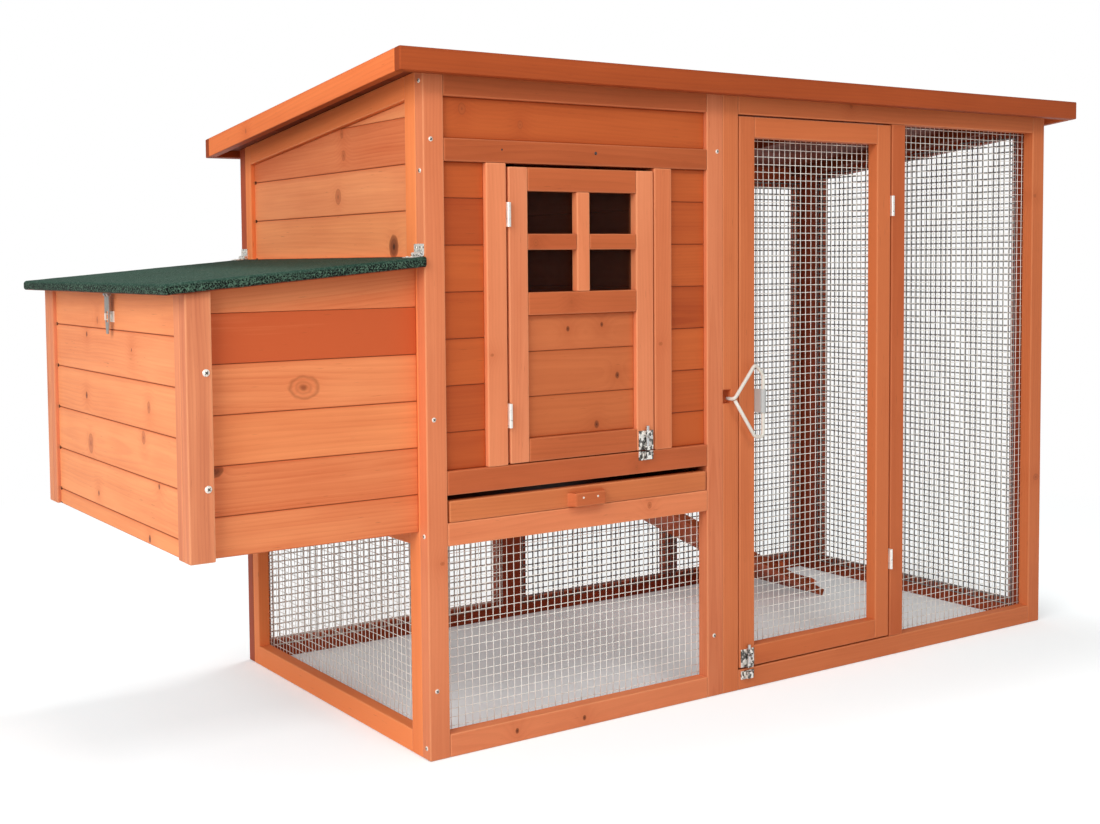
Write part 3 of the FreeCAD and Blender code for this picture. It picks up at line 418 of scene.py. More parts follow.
def mineral_felt():
    """Roofing felt with pale mineral granules, pressed into worms at its edges, with painted
    shade in the worms' valleys and a painted highlight on their crests.
    """
    shader = Shader()
    at = shader.node("TexCoord", output="Object")
    facing = shader.node("NewGeometry", output="True Normal")
    upward = shader.parts(facing)[2]
    grain, luck = shader.cells(at, 620.0)
    worm = shader.noise(at, 270.0, 1.0, 0.5)
    crest = (1 - abs(worm - 0.5) * 15).clamped()
    cloud = shader.noise(at, 9.0, 3.0, 0.6)
    lump = ((1 - grain * 1.5).clamped() + crest) * 0.5
    granule = ((luck - 0.62) * 3.2).clamped()
    on_edge = (1 - upward * 1.4).clamped()
    tint = shader.mix(granule * 0.35, colour(felt_green), colour(felt_pale))
    # Painted shade in the worms' valleys, which leaves the sides darker than the top, and a
    # painted highlight on their crests
    tint = shader.mix((1 - crest) * on_edge * 0.98, tint, colour(felt_blotch_and_valley_shade))
    tint = shader.mix(crest * (on_edge * 0.75 + 0.1), tint, colour(felt_crest_highlight))
    tint = shader.mix((cloud - 0.5).clamped() * 0.5, tint, colour(felt_blotch_and_valley_shade))
    return shader.finish(Base_Color=tint, Roughness=0.88 - granule * 0.25,
                         Specular_IOR_Level=0.25, Normal=shader.bump(lump, 0.9 * mm, 0.9))


def zinc_plate(tint, roughness):
    """Zinc plate with faint spangles and fine scratches."""
    shader = Shader()
    at = shader.node("TexCoord", output="Object")
    luck = shader.cells(at, 260.0)[1]
    scratch = shader.noise(shader.stretched(at, (900, 900, 60)), 1.0, 2.0)
    dull = shader.noise(at, 40.0, 3.0)
    body = shader.mix(luck * 0.35, colour(tint), colour("9DA2A6"))
    body = shader.mix((dull - 0.55).clamped() * 1.6, body, colour("8A8C8B"))
    return shader.finish(Base_Color=body, Metallic=1.0,
                         Roughness=roughness + (luck - 0.5) * 0.12 + (dull - 0.5) * 0.2,
                         Normal=shader.bump(scratch, 0.05 * mm, 0.5))


def flashed_chrome(scale, dark_share):
    """Polished plating with the hard bright and dark patches of its surroundings as painted
    reflections.
    """
    shader = Shader()
    at = shader.node("TexCoord", output="Object")
    patch = shader.noise(shader.stretched(at, (1.0, 1.0, 0.6)), scale, 2.0, 0.6)
    dark = ((patch - 1 + dark_share) * 14).clamped()
    body = shader.mix(dark * 0.9, colour("F4F1EA"), colour("2A2521"))
    return shader.finish(Base_Color=body, Metallic=0.55, Roughness=0.32 - dark * 0.08,
                         Normal=shader.bump(patch, 0.1 * mm, 0.3))


def coated_wire(tint, dull):
    """Galvanised mesh wire, slightly uneven, with dull stretches."""
    shader = Shader()
    at = shader.node("TexCoord", output="Object")
    patch = shader.noise(at, 55.0, 3.0, 0.6)
    body = shader.mix((patch - 0.45).clamped() * 1.2, colour(tint), colour(dull))
    return shader.finish(Base_Color=body, Metallic=0.05, Roughness=0.5 + (patch - 0.5) * 0.3,
                         Normal=shader.bump(patch, 0.1 * mm, 0.4))


def acrylic_pane():
    """A thin clear pane with a little dust, tinted dark brown as painted shade of the cabin
    behind it.
    """
    shader = Shader()
    at = shader.node("TexCoord", output="Object")
    dust = shader.noise(at, 30.0, 4.0, 0.65)
    return shader.finish(Base_Color=shader.mix(dust * 0.12, colour("2E120A"), colour("5A4438")),
                         Roughness=0.12 + (dust - 0.4).clamped() * 0.3, Alpha=0.3 + dust * 0.2,
                         Specular_IOR_Level=0.12)


def coated_rod(tint):
    """Bent wire with a pale, slightly uneven coating."""
    shader = Shader()
    at = shader.node("TexCoord", output="Object")
    patch = shader.noise(at, 90.0, 3.0, 0.6)
    body = shader.mix((patch - 0.5).clamped() * 0.8, colour(tint), colour("B9ADA2"))
    return shader.finish(Base_Color=body, Metallic=0.1, Roughness=0.42 + (patch - 0.5) * 0.2,
                         Normal=shader.bump(patch, 0.1 * mm, 0.3))


materials = {
    "front_wood": stained_wood("stile", arris_highlight=0.3),
    "front_rail_wood": stained_wood("front_rail", arris_highlight=0.15),
    "board_wood": stained_wood("nest", loose_ends=True),
    "front_board_wood": stained_wood("front_board", joint=0.55),
    "door_board_wood": stained_wood("door_board", joint=0.55),
    "frame_wood": stained_wood("side", arris_highlight=0.25),
    # Painted shade: the rear frames in a darker copy of the stain
    "shaded_rear_wood": stained_wood("rear", arris_highlight=0.1),
    "post_wood": stained_wood("post", arris_highlight=0.3, streaks=1.3),
    "door_wood": stained_wood("stile", arris_highlight=0.3),
    "run_wood": stained_wood("run", arris_highlight=0.2),
    "rail_wood": stained_wood("rail", arris_highlight=0.2),
    "fascia_wood": stained_wood("fascia", ring_pitch=6.0),
    "side_fascia_wood": stained_wood("fascia_side", ring_pitch=6.0),
    # Painted shade: the cabin's inner faces in a darker copy of the stain
    "inner_wood": stained_wood("inside"),
    # Painted light: the ramp in a brighter copy of the stain
    "painted_light_ramp_wood": stained_wood("ramp"),
    "roof_felt": mineral_felt(),
    "wire_mesh": coated_wire(wire_pale, "BDB9AF"),
    # Painted shade: the rear and right-hand panels' wire in dark grey, the same wire as the pale
    # front
    "rear_wire": coated_wire(shaded_wire_grey, "7E7E7C"),
    # Plated parts with painted reflections
    "zinc": flashed_chrome(190.0, 0.54),
    "zinc_with_painted_reflections": flashed_chrome(420.0, 0.45),
    "screw_chrome": flashed_chrome(500.0, 0.4),
    "strap_zinc": zinc_plate("B9B7B1", 0.5),
    "steel_rod": zinc_plate("D4D5D4", 0.28),
    "latch_rod": coated_rod(latch_white),
    "bracket_grey": coated_rod("B9BAB8"),
    "pale_zinc": coated_rod("EDE7DC"),
    "knuckle_zinc": flashed_chrome(260.0, 0.36),
    # Painted shade for the screws' cross recesses and the sunk nails' holes
    "recess_shade": zinc_plate("3A2A22", 0.6),
    "clear_pane": acrylic_pane(),
}
for name, material in materials.items():
    material.name = name

finish_of = dict(slot_of)
finish_of.update({
    "house_front_cladding": "front_board_wood",
    "house_door_boards": "door_board_wood",
    "nest_frame": "post_wood",
    "tray_front": "rail_wood",
    "tray_handle": "front_rail_wood",
    # The rear and right-hand frames take the darker stain as painted shade
    "rear_frame": "shaded_rear_wood",
    "right_side_frame": "shaded_rear_wood",
    "run_front_frame": "run_wood",
    "run_door_frame": "run_wood",
    "ramp_board": "painted_light_ramp_wood",
    "ramp_cleats": "painted_light_ramp_wood",
    "rear_run_mesh": "rear_wire",
    "right_side_mesh": "rear_wire",
    "lid_strap": "strap_zinc",
    "strap_staple": "pale_zinc",
    "strap_bracket": "strap_zinc",
    "latch_bracket": "bracket_grey",
    "lid_hinge_wall_leaves": "zinc_with_painted_reflections",
    "lid_hinge_lid_leaves": "zinc_with_painted_reflections",
    "house_door_hinge_jamb_leaves": "knuckle_zinc",
    "house_door_hinge_door_leaves": "knuckle_zinc",
    "run_door_hinge_post_leaves": "knuckle_zinc",
    "run_door_hinge_door_leaves": "knuckle_zinc",
})
# A second finish for some of a node's boards, by grain direction and height
high_rail = 0.36
second_finish_of = {
    "house_front_frame": ("front_rail_wood",
                          lambda grain, z: abs(grain.z) < 0.5 and z > high_rail),
    "house_door_frame": ("front_rail_wood", lambda grain, z: abs(grain.z) < 0.5),
    "house_door_muntins": ("front_rail_wood", lambda grain, z: abs(grain.z) < 0.5),
    "roof_fascia": ("side_fascia_wood", lambda grain, z: abs(grain.x) < 0.5),
}
grain_of = {"house_front_cladding": Vector((1, 0, 0))}

# Tone of the boards in sight, by the axis that they face and a spot on each: its place along,
# its height, its tone
board_tones = {
    "nest_cladding": {
        1: ((-0.70, 0.67, 0.4), (-0.70, 0.62, 0.95), (-0.70, 0.55, 0.26), (-0.70, 0.485, 0.18),
            (-0.70, 0.42, 0.45), (-0.70, 0.36, 0.3)),
        0: ((0, 0.64, 0.08), (0, 0.59, 0.16), (0, 0.52, 0.04), (0, 0.455, 0), (0, 0.39, -0.04),
            (0, 0.34, -0.04)),
    },
    "left_side_cladding": {0: ((0, 0.91, 0.5), (0, 0.87, 0.75), (0, 0.81, 0.2), (0, 0.75, 0))},
    "left_side_frame": {0: ((0, 0.012, -0.25),)},
    "house_door_frame": {1: ((-0.377, 0.64, 0.12), (-0.129, 0.64, 0.05))},
    "run_door_frame": {1: ((0.079, 0.5, 0.05), (0.415, 0.5, -0.2))},
    "house_front_cladding": {
        1: ((-0.465, 0.83, 0.05), (-0.465, 0.777, 0.5), (-0.465, 0.71, 0), (-0.465, 0.64, 0.2),
            (-0.465, 0.575, 0.05), (-0.465, 0.505, 0.5), (-0.465, 0.445, 0.25),
            (-0.035, 0.83, 0.2), (-0.035, 0.777, 0.3), (-0.035, 0.71, 0.1), (-0.035, 0.64, 0.5),
            (-0.035, 0.575, -0.05), (-0.035, 0.505, 0.15), (-0.035, 0.445, -0.3)),
    },
    "nest_frame": {1: ((-0.8725, 0.5, 0.05),)},
    "house_door_muntins": {1: ((-0.256, 0.72, 0),)},
}
# Knots in sight: place along, height, and radius in mm, below zero for a dark one
board_knots = {
    "nest_cladding": {
        1: ((-0.7135, 0.550, 23), (-0.849, 0.448, -15)),
        0: ((0.059, 0.637, 4), (0.112, 0.614, -3), (-0.091, 0.599, -1.8), (0.120, 0.519, -4),
            (-0.157, 0.5225, 6), (0.105, 0.446, 11), (-0.133, 0.478, 7), (0.072, 0.373, -3),
            (-0.191, 0.417, -3), (-0.149, 0.338, -4)),
    },
    "left_side_cladding": {
        0: ((-0.057, 0.920, 5), (-0.062, 0.886, 6), (0.085, 0.887, 3), (-0.041, 0.823, 9),
            (-0.217, 0.742, -13)),
    },
    "house_door_boards": {
        1: ((-0.278, 0.6155, -3.2), (-0.213, 0.620, -3), (-0.183, 0.540, -4),
            (-0.224, 0.466, -4.5)),
    },
    "house_front_frame": {1: ((-0.383, 0.017, -3.2), (-0.257, 0.0135, -3.2))},
}


def new_object(name, mesh, body, slot, *stands_for, finish=None, second_finish=None):
    piece = bpy.data.objects.new(name, mesh)
    bpy.context.scene.collection.objects.link(piece)
    mesh.materials.append(materials[finish or slot])
    if second_finish:
        mesh.materials.append(materials[second_finish])
    if stands_for:
        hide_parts(*stands_for)
    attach(piece, body)
    return piece


def spot_key(point):
    return tuple(round(c, 6) for c in point)


def solids_in(mesh):
    """The closed solids of a mesh, each as a list of its faces' corner points.

    A solid's faces follow each other, and it is whole once each of its edges has its twin.
    """
    solids, faces, open_edges = [], [], set()
    for polygon in mesh.polygons:
        corners = [tuple(mesh.vertices[v].co) for v in polygon.vertices]
        faces.append(corners)
        keys = [spot_key(point) for point in corners]
        for start, end in zip(keys, keys[1:] + keys[:1]):
            if (end, start) in open_edges:
                open_edges.remove((end, start))
            else:
                open_edges.add((start, end))
        if not open_edges:
            solids.append(faces)
            faces = []
    if faces:
        solids.append(faces)
    return solids


def clean_solid(faces):
    """One solid as a bmesh with its flat areas joined into whole faces."""
    solid = bmesh.new()
    made = {}
    for face in faces:
        corners = []
        for point in face:
            key = spot_key(point)
            if key not in made:
                made[key] = solid.verts.new(point)
            if made[key] not in corners:
                corners.append(made[key])
        if len(corners) > 2:
            try:
                solid.faces.new(corners)
            except ValueError:
                continue
    bmesh.ops.dissolve_limit(solid, angle_limit=math.radians(1), verts=solid.verts,
                             edges=solid.edges)
    bmesh.ops.recalc_face_normals(solid, faces=solid.faces)
    return solid


def board_axes(solid, along=None):
    """Directions along the grain, across it and through the board."""
    if along is None:
        sharp = [e for e in solid.edges if e.is_manifold and e.calc_face_angle() > sharp_angle]
        longest = max(sharp, key=lambda e: e.calc_length())
        along = (longest.verts[1].co - longest.verts[0].co).normalized()
        if sum(along) < 0:
            along.negate()
    areas = {}
    for face in solid.faces:
        if abs(face.normal.dot(along)) < 0.5:
            key = tuple(round(abs(c), 2) for c in face.normal)
            areas.setdefault(key, [0, face.normal.copy()])[0] += face.calc_area()
    through = max(areas.values(), key=lambda entry: entry[0])[1]
    through = (through - along * through.dot(along)).normalized()
    across = through.cross(along)
    if sum(across) < 0:
        across, through = -across, -through
    return along, across, through


def notes_on(table, node, axes, middle, reach):
    """The entries of a table whose spot lies on this board's face."""
    facing = max(range(3), key=lambda i: abs(axes[2][i]))
    centre = sum((axis * place for axis, place in zip(axes, middle)), Vector())
    in_sight = centre[facing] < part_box(node)[0][facing] + in_sight_depth
    found = []
    for u, z, value in table.get(node, {}).get(facing, ()) if in_sight else ():
        spot = centre.copy()
        spot[1 - facing] = u
        spot.z = z
        off = [spot.dot(axis) - place for axis, place in zip(axes, middle)]
        if abs(off[0]) < reach[0] and abs(off[1]) < reach[1]:
            found.append((off[0], off[1], value))
    return found


def random_knots(reach):
    """None, one or two small knots somewhere on a board."""
    found = []
    for _ in range(2):
        place = (chance.uniform(-0.9, 0.9) * reach[0], chance.uniform(-0.6, 0.6) * reach[1])
        size = chance.uniform(2, min(9, reach[1] / mm * 0.3 + 1))
        if chance.random() < knot_chance:
            found.append(place + (size,))
    return found


def dress_boards(node, rounding):
    """Boards and rails in place of a node's solids, with eased edges and their own grain."""
    points, faces, at, half, seed, second = [], [], [], [], [], []
    knots = {"knot_a": [], "knot_b": []}
    second_finish, is_second = second_finish_of.get(node, (None, None))
    for faces_of_solid in solids_in(nodes[node].data):
        solid = clean_solid(faces_of_solid)
        axes = board_axes(solid, grain_of.get(node))
        spans = [[v.co.dot(axis) for v in solid.verts] for axis in axes]
        middle = [(max(span) + min(span)) / 2 for span in spans]
        reach = [(max(span) - min(span)) / 2 for span in spans]
        sharp = [e for e in solid.edges if e.is_manifold and e.calc_face_angle() > sharp_angle
                 and e.calc_length() > 4 * rounding]
        bmesh.ops.bevel(solid, geom=sharp, offset=rounding, segments=2, profile=0.6,
                        affect="EDGES", clamp_overlap=True)
        tones = notes_on(board_tones, node, axes, middle, reach)
        tone = tones[0][2] if tones else max(0, chance.random() - 0.75) * 1.6
        luck = [chance.random(), chance.random(), tone]
        spots = notes_on(board_knots, node, axes, middle, reach)
        if not spots and not tones:
            spots = random_knots(reach)
        spots = [(u, v, size * mm) for u, v, size in spots] + [(0, 0, 0)] * 2
        start = len(points)
        solid.verts.index_update()
        for vertex in solid.verts:
            points.append(vertex.co.copy())
            at.extend(vertex.co.dot(axis) - centre for axis, centre in zip(axes, middle))
            half.extend(reach)
            seed.extend(luck)
            knots["knot_a"].extend(spots[0])
            knots["knot_b"].extend(spots[1])
        faces.extend([start + v.index for v in face.verts] for face in solid.faces)
        height = sum(axis.z * place for axis, place in zip(axes, middle))
        other = int(bool(is_second and is_second(axes[0], height)))
        second.extend([other] * len(solid.faces))
        solid.free()
    mesh = bpy.data.meshes.new(node + "_boards")
    mesh.from_pydata(points, [], faces)
    carried = {"board_at": at, "board_half": half, "board_seed": seed, **knots}
    for name, values in carried.items():
        attribute = mesh.attributes.new(name, "FLOAT_VECTOR", "POINT")
        attribute.data.foreach_set("vector", values)
    piece = new_object(node + "_dressed", mesh, body_of[node], slot_of[node], node,
                       finish=finish_of[node], second_finish=second_finish)
    mesh.polygons.foreach_set("material_index", second)
    return piece


def tubes(name, paths, radius, sides):
    """Round wires along paths of points, in one mesh with closed ends."""
    points, faces = [], []
    turns = [(math.cos(a), math.sin(a)) for a in (math.tau * i / sides for i in range(sides))]
    for path in paths:
        path = [Vector(p) for p in path]
        start = len(points)
        side = None
        for index, point in enumerate(path):
            before = path[max(index - 1, 0)]
            after = path[min(index + 1, len(path) - 1)]
            ahead = (after - before).normalized()
            if side is None:
                side = ahead.orthogonal().normalized()
            side = (side - ahead * side.dot(ahead)).normalized()
            up = ahead.cross(side)
            points.extend(point + (side * c + up * s) * radius for c, s in turns)
        for ring in range(len(path) - 1):
            low = start + ring * sides
            for i in range(sides):
                j = (i + 1) % sides
                faces.append((low + i, low + j, low + sides + j, low + sides + i))
        faces.append(tuple(start + i for i in reversed(range(sides))))
        last = start + (len(path) - 1) * sides
        faces.append(tuple(last + i for i in range(sides)))
    mesh = bpy.data.meshes.new(name)
    mesh.from_pydata(points, [], faces)
    mesh.polygons.foreach_set("use_smooth", [len(face) == 4 for face in faces])
    return mesh


def welded_mesh(node, normal_axis, radius):
    """Round welded wires in place of a mesh panel's two layers, the upright wires in front."""
    low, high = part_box(node)
    across_axis = 1 - normal_axis
    co = np.array([v.co for v in nodes[node].data.vertices])
    u0, u1 = low[across_axis], high[across_axis]
    tops = [co[abs(co[:, across_axis] - u) < 1e-5][:, 2].max() for u in (u0, u1)]
    upright_depth = low[normal_axis] + radius
    level_depth = high[normal_axis] - radius

    def top_at(u):
        return tops[0] + (tops[1] - tops[0]) * (u - u0) / (u1 - u0)

    def point(u, v, depth):
        spot = [0, 0, v]
        spot[across_axis] = u
        spot[normal_axis] = depth
        return spot

    def wavy(start, end, depth, upright, fixed):
        count = max(2, round((end - start) / wire_step))
        path = []
        for i in range(count + 1):
            t = start + (end - start) * i / count
            stray = chance.uniform(-wire_stray, wire_stray)
            place = (fixed + stray, t) if upright else (t, fixed + stray)
            path.append(point(*place, depth))
        return path

    paths = []
    count = round((u1 - u0) / mesh_pitch)
    step = (u1 - u0 - 2 * radius) / count
    for i in range(count + 1):
        u = u0 + radius + i * step
        paths.append(wavy(low[2], top_at(u), upright_depth, True, u))
    height = max(tops) - low[2]
    count = round(height / mesh_pitch)
    step = (height - 2 * radius) / count
    for i in range(count + 1):
        v = low[2] + radius + i * step
        start, end = u0, u1
        if v > min(tops):
            cut = u0 + (v - tops[0]) * (u1 - u0) / (tops[1] - tops[0])
            start, end = (u0, cut) if tops[0] > tops[1] else (cut, u1)
        if end - start > mesh_pitch:
            paths.append(wavy(start, end, level_depth, False, v))
    mesh = tubes(node + "_wires", paths, radius, 6)
    return new_object(node + "_wires", mesh, body_of[node], slot_of[node], node,
                      finish=finish_of[node])


def turned(name, centre, out, outline, body, finish, cross=0.0, sides=32):
    """A turned piece from its outline of (radius, height) rings, with a cross recess or not."""
    across = out.orthogonal().normalized()
    beside = out.cross(across)
    points = [centre + out * outline[0][1]]
    dropped = set()
    for radius, height in outline:
        for s in range(sides):
            angle = math.tau * s / sides
            x, y = radius * math.cos(angle), radius * math.sin(angle)
            in_cross = min(abs(x), abs(y)) < cross * 0.22 and max(abs(x), abs(y)) < cross
            drop = cross * 0.5 if in_cross else 0
            if in_cross:
                dropped.add(len(points))
            points.append(centre + across * x + beside * y + out * (height - drop))
    faces = [(0, 1 + s, 1 + (s + 1) % sides) for s in range(sides)]
    for ring in range(len(outline) - 1):
        low = 1 + ring * sides
        for s in range(sides):
            t = (s + 1) % sides
            faces.append((low + s, low + sides + s, low + sides + t, low + t))
    last = 1 + (len(outline) - 1) * sides
    faces.append(tuple(last + s for s in reversed(range(sides))))
    mesh = bpy.data.meshes.new(name)
    mesh.from_pydata(points, [], faces)
    piece = new_object(name, mesh, body, "zinc", finish=finish, second_finish="recess_shade")
    # The cross recess's faces take the painted shade
    recessed = [int(any(v in dropped for v in face)) for face in faces]
    mesh.polygons.foreach_set("material_index", recessed)
    return piece


def screw_head(name, centre, out, radius, body):
    """A domed head with a cross recess, its flat side at centre."""
    rings = 10
    rise = radius * 0.5
    outline = [(radius * 0.03, rise)]
    for ring in range(1, rings + 1):
        share = ring / rings
        outline.append((radius * share, rise * (1 - share ** 3 * 0.8)))
    outline.append((radius, 0))
    return turned(name, centre, out, outline, body, "pale_zinc", radius * 0.62)


def washer(name, centre, out, radius):
    thick, soft = washer_thick, 0.3 * mm
    outline = [(radius * 0.3, thick), (radius - soft, thick), (radius, thick - soft), (radius, 0)]
    return turned(name, centre, out, outline, "coop", "screw_chrome")


def screws_in_place():
    """Cross-head screws where the frame has its screws, those in the nest's post on washers."""
    for index, faces in enumerate(solids_in(nodes["screws"].data)):
        spots = [Vector(point) for face in faces for point in face]
        low = Vector([min(spot[i] for spot in spots) for i in range(3)])
        high = Vector([max(spot[i] for spot in spots) for i in range(3)])
        span = high - low
        axis = 0 if span.x > span.y else 1
        out = Vector((-1, 0, 0)) if axis == 0 else Vector((0, -1, 0))
        face = (low + high) / 2
        width = span[1 - axis]
        on_washer = width > widest_bare_screw
        face[axis] = low[axis] + screw_head_thick + on_washer * washer_thick
        if on_washer:
            washer("nest_washer_%d" % index, face, out, width / 2)
            screw_head("nest_screw_%d" % index, face + out * washer_thick, out,
                       nest_screw_radius, "coop")
        else:
            screw_head("frame_screw_%d" % index, face, out, width / 2, "coop")
    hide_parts("screws")


def slope_of(node):
    """Height of a sloping node's top over x, as (height at x = 0, rise per metre)."""
    low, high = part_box(node)
    co = np.array([v.co for v in nodes[node].data.vertices])
    at_low = co[abs(co[:, 0] - low.x) < 1e-5][:, 2].max()
    rise = (high.z - at_low) / (high.x - low.x)
    return high.z - rise * high.x, rise


def cut_grid(solid, low, high, pitch):
    """Cut a mesh into squares of about that pitch, seen from above."""
    for axis in (0, 1):
        count = int((high[axis] - low[axis]) / pitch)
        for i in range(1, count):
            place = [0, 0, 0]
            place[axis] = low[axis] + (high[axis] - low[axis]) * i / count
            normal = [0, 0, 0]
            normal[axis] = 1
            geometry = list(solid.verts) + list(solid.edges) + list(solid.faces)
            bmesh.ops.bisect_plane(solid, geom=geometry, plane_co=place, plane_no=normal)


def felt_lid():
    """Felt drawn over the lid's board, with soft edges, small waves and a hem underneath."""
    low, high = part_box("nest_lid_felt")
    base, rise = slope_of("nest_lid_felt")
    corners = ((low.x, low.y, -lid_felt_depth), (high.x, high.y, 0))
    solid = bmesh.new()
    for vert in bmesh.ops.create_cube(solid, size=1.0)["verts"]:
        vert.co = Vector([corners[vert.co[i] > 0][i] for i in range(3)])
    wall_edges = [e for e in solid.edges if all(v.co.x > high.x - 1e-6 for v in e.verts)]
    soft = [e for e in solid.edges if e not in wall_edges]
    bmesh.ops.bevel(solid, geom=soft, offset=lid_edge_round, segments=5, profile=0.5,
                    affect="EDGES")
    cut_grid(solid, low, high, lid_felt_step)
    under = [f for f in solid.faces if f.normal.z < -0.9 or f.normal.x > 0.9]
    inner = [f for f in under
             if all(low.x + lid_hem < v.co.x and low.y + lid_hem < v.co.y < high.y - lid_hem
                    for v in f.verts)]
    bmesh.ops.delete(solid, geom=inner, context="FACES")
    solid.normal_update()
    for vert in solid.verts:
        spot = vert.co.copy()
        wave = noise.noise(spot * 38) * 0.45 + noise.noise(spot * 120) * 0.3
        edge = 1.0 if spot.z < -1 * mm else 0.45
        vert.co += vert.normal * (wave * edge - 0.15) * mm
        vert.co.z += base + rise * spot.x
    mesh = bpy.data.meshes.new("nest_lid_cover")
    solid.to_mesh(mesh)
    solid.free()
    mesh.polygons.foreach_set("use_smooth", [True] * len(mesh.polygons))
    return new_object("nest_lid_cover", mesh, "nest_lid", "roof_felt", "nest_lid_felt")


def roof_strips():
    """Felt laid on the roof in two lapped strips, with a row of clout nails along each edge."""
    low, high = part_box("roof_felt")
    co = np.array([v.co for v in nodes["roof_felt"].data.vertices])
    rear_top = co[abs(co[:, 1] - high.y) < 1e-5][:, 2].max()
    fall = (high.z - rear_top) / (high.y - low.y)

    def top(y):
        return high.z - fall * (y - low.y)

    middle = (low.y + high.y) / 2
    for name, y0, y1, lift in (("rear", middle - felt_lap / 2, high.y, -0.9),
                               ("front", low.y, middle + felt_lap / 2, 0.3)):
        columns = int((high.x - low.x) / roof_felt_step)
        rows = int((y1 - y0) / roof_felt_step)
        points, faces = [], []
        for row in range(rows + 1):
            y = y0 + (y1 - y0) * row / rows
            for column in range(columns + 1):
                x = low.x + (high.x - low.x) * column / columns
                wave = noise.noise(Vector((x * 5, y * 9, lift))) * 0.5
                points.append((x, y, top(y) + (lift + wave) * mm))
        for row in range(rows):
            for column in range(columns):
                a = row * (columns + 1) + column
                faces.append((a, a + 1, a + columns + 2, a + columns + 1))
        mesh = bpy.data.meshes.new("roof_strip_" + name)
        mesh.from_pydata(points, [], faces)
        mesh.polygons.foreach_set("use_smooth", [True] * len(faces))
        covers = ("roof_felt",) if name == "front" else ()
        strip = new_object("roof_strip_" + name, mesh, "coop", "roof_felt", *covers)
        skin = strip.modifiers.new("thickness", "SOLIDIFY")
        skin.thickness = felt_strip_thick
        skin.offset = -1
    slope = Vector((0, fall, 1)).normalized()
    first, last = low.x + roof_nail_end, high.x - roof_nail_end
    for y in (low.y + roof_nail_edge, middle + felt_lap / 2 - roof_nail_edge,
              high.y - roof_nail_edge):
        for i in range(roof_nails):
            x = first + (last - first) * i / (roof_nails - 1)
            spot = Vector((x, y, top(y) + 0.4 * mm))
            name = "roof_nail_%d_%d" % (round(y * 1000 + 500), i)
            clout_nail(name, spot, slope, roof_nail_radius, 1 * mm)


def clout_nail(name, centre, out, radius, height, body="coop", finish="zinc"):
    """A flat nail head with a soft edge."""
    across = out.orthogonal().normalized()
    beside = out.cross(across)
    sides = 16
    points = []
    for share, rise in ((1.0, 0.0), (1.0, 0.5), (0.85, 0.9), (0.4, 1.0)):
        for s in range(sides):
            angle = math.tau * s / sides
            spoke = across * math.cos(angle) + beside * math.sin(angle)
            points.append(centre + spoke * radius * share + out * height * rise)
    faces = []
    for ring in range(3):
        for s in range(sides):
            t = (s + 1) % sides
            low = ring * sides
            faces.append((low + s, low + t, low + sides + t, low + sides + s))
    faces.append(tuple(3 * sides + s for s in range(sides)))
    mesh = bpy.data.meshes.new(name)
    mesh.from_pydata(points, [], faces)
    return new_object(name, mesh, body, "zinc", finish=finish)


def bent(path, radius, steps=6):
    """A path of points with its corners turned into bends."""
    points = [path[0]]
    for before, corner, after in zip(path, path[1:], path[2:]):
        back = before - corner
        ahead = after - corner
        cut = min(radius, back.length * 0.45, ahead.length * 0.45)
        start = corner + back.normalized() * cut
        end = corner + ahead.normalized() * cut
        for i in range(steps + 1):
            t = i / steps
            points.append(start * (1 - t) ** 2 + corner * 2 * t * (1 - t) + end * t ** 2)
    return points + [path[-1]]


def latch_loop():
    """The latch as one bent wire: up from its tip, round the loop and back into the tail."""
    low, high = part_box("wire_latch")
    spots = [v.co for v in nodes["wire_latch"].data.vertices]
    apex_z = min(spots, key=lambda spot: spot.x).z
    radius = latch_wire_radius
    left, right = low.x + radius, high.x - radius
    front, tail = low.y + radius, high.y
    bottom, top = low.z + radius, high.z - radius
    loop = [
        Vector((left + 1.5 * mm, front, apex_z - 3 * mm)),
        Vector((right - latch_shoulder, front, bottom)),
        Vector((right, front, bottom)),
        Vector((right, front, top - latch_shoulder)),
        Vector((right - latch_shoulder, front, top)),
        Vector((left, front, apex_z)),
        Vector((left, tail, apex_z)),
    ]
    mesh = tubes("latch_wire", [bent(loop, latch_bend)], radius, 14)
    return new_object("latch_wire", mesh, "latch", "steel_rod", "wire_latch", finish="latch_rod")


def leaf_screws(name, body, out, places):
    """Small screw heads on the visible leaves of a hinge."""
    for index, place in enumerate(places):
        screw_head("%s_screw_%d" % (name, index), place, out, leaf_screw_radius, body)


def lid_hinge_screws():
    wall_low, wall_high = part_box("lid_hinge_wall_leaves")
    base, rise = slope_of("nest_lid_felt")
    slope = Vector((-rise, 0, 1)).normalized()
    wall_x = wall_high.x - hinge_leaf_thick
    wall_z = wall_high.z - wall_screw_drop
    lid_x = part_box("lid_hinge_lid_leaves")[0].x + lid_screw_inset
    lid_z = base + rise * lid_x + hinge_leaf_thick
    wall_places, lid_places = [], []
    for start in (wall_low.y, wall_high.y - hinge_leaf_length):
        for share in hinge_leaf_shares:
            y = start + hinge_leaf_length * share
            wall_places.append(Vector((wall_x, y, wall_z)))
            lid_places.append(Vector((lid_x, y, lid_z)))
    leaf_screws("wall_leaf", "coop", Vector((-1, 0, 0)), wall_places)
    leaf_screws("lid_leaf", "nest_lid", slope, lid_places)


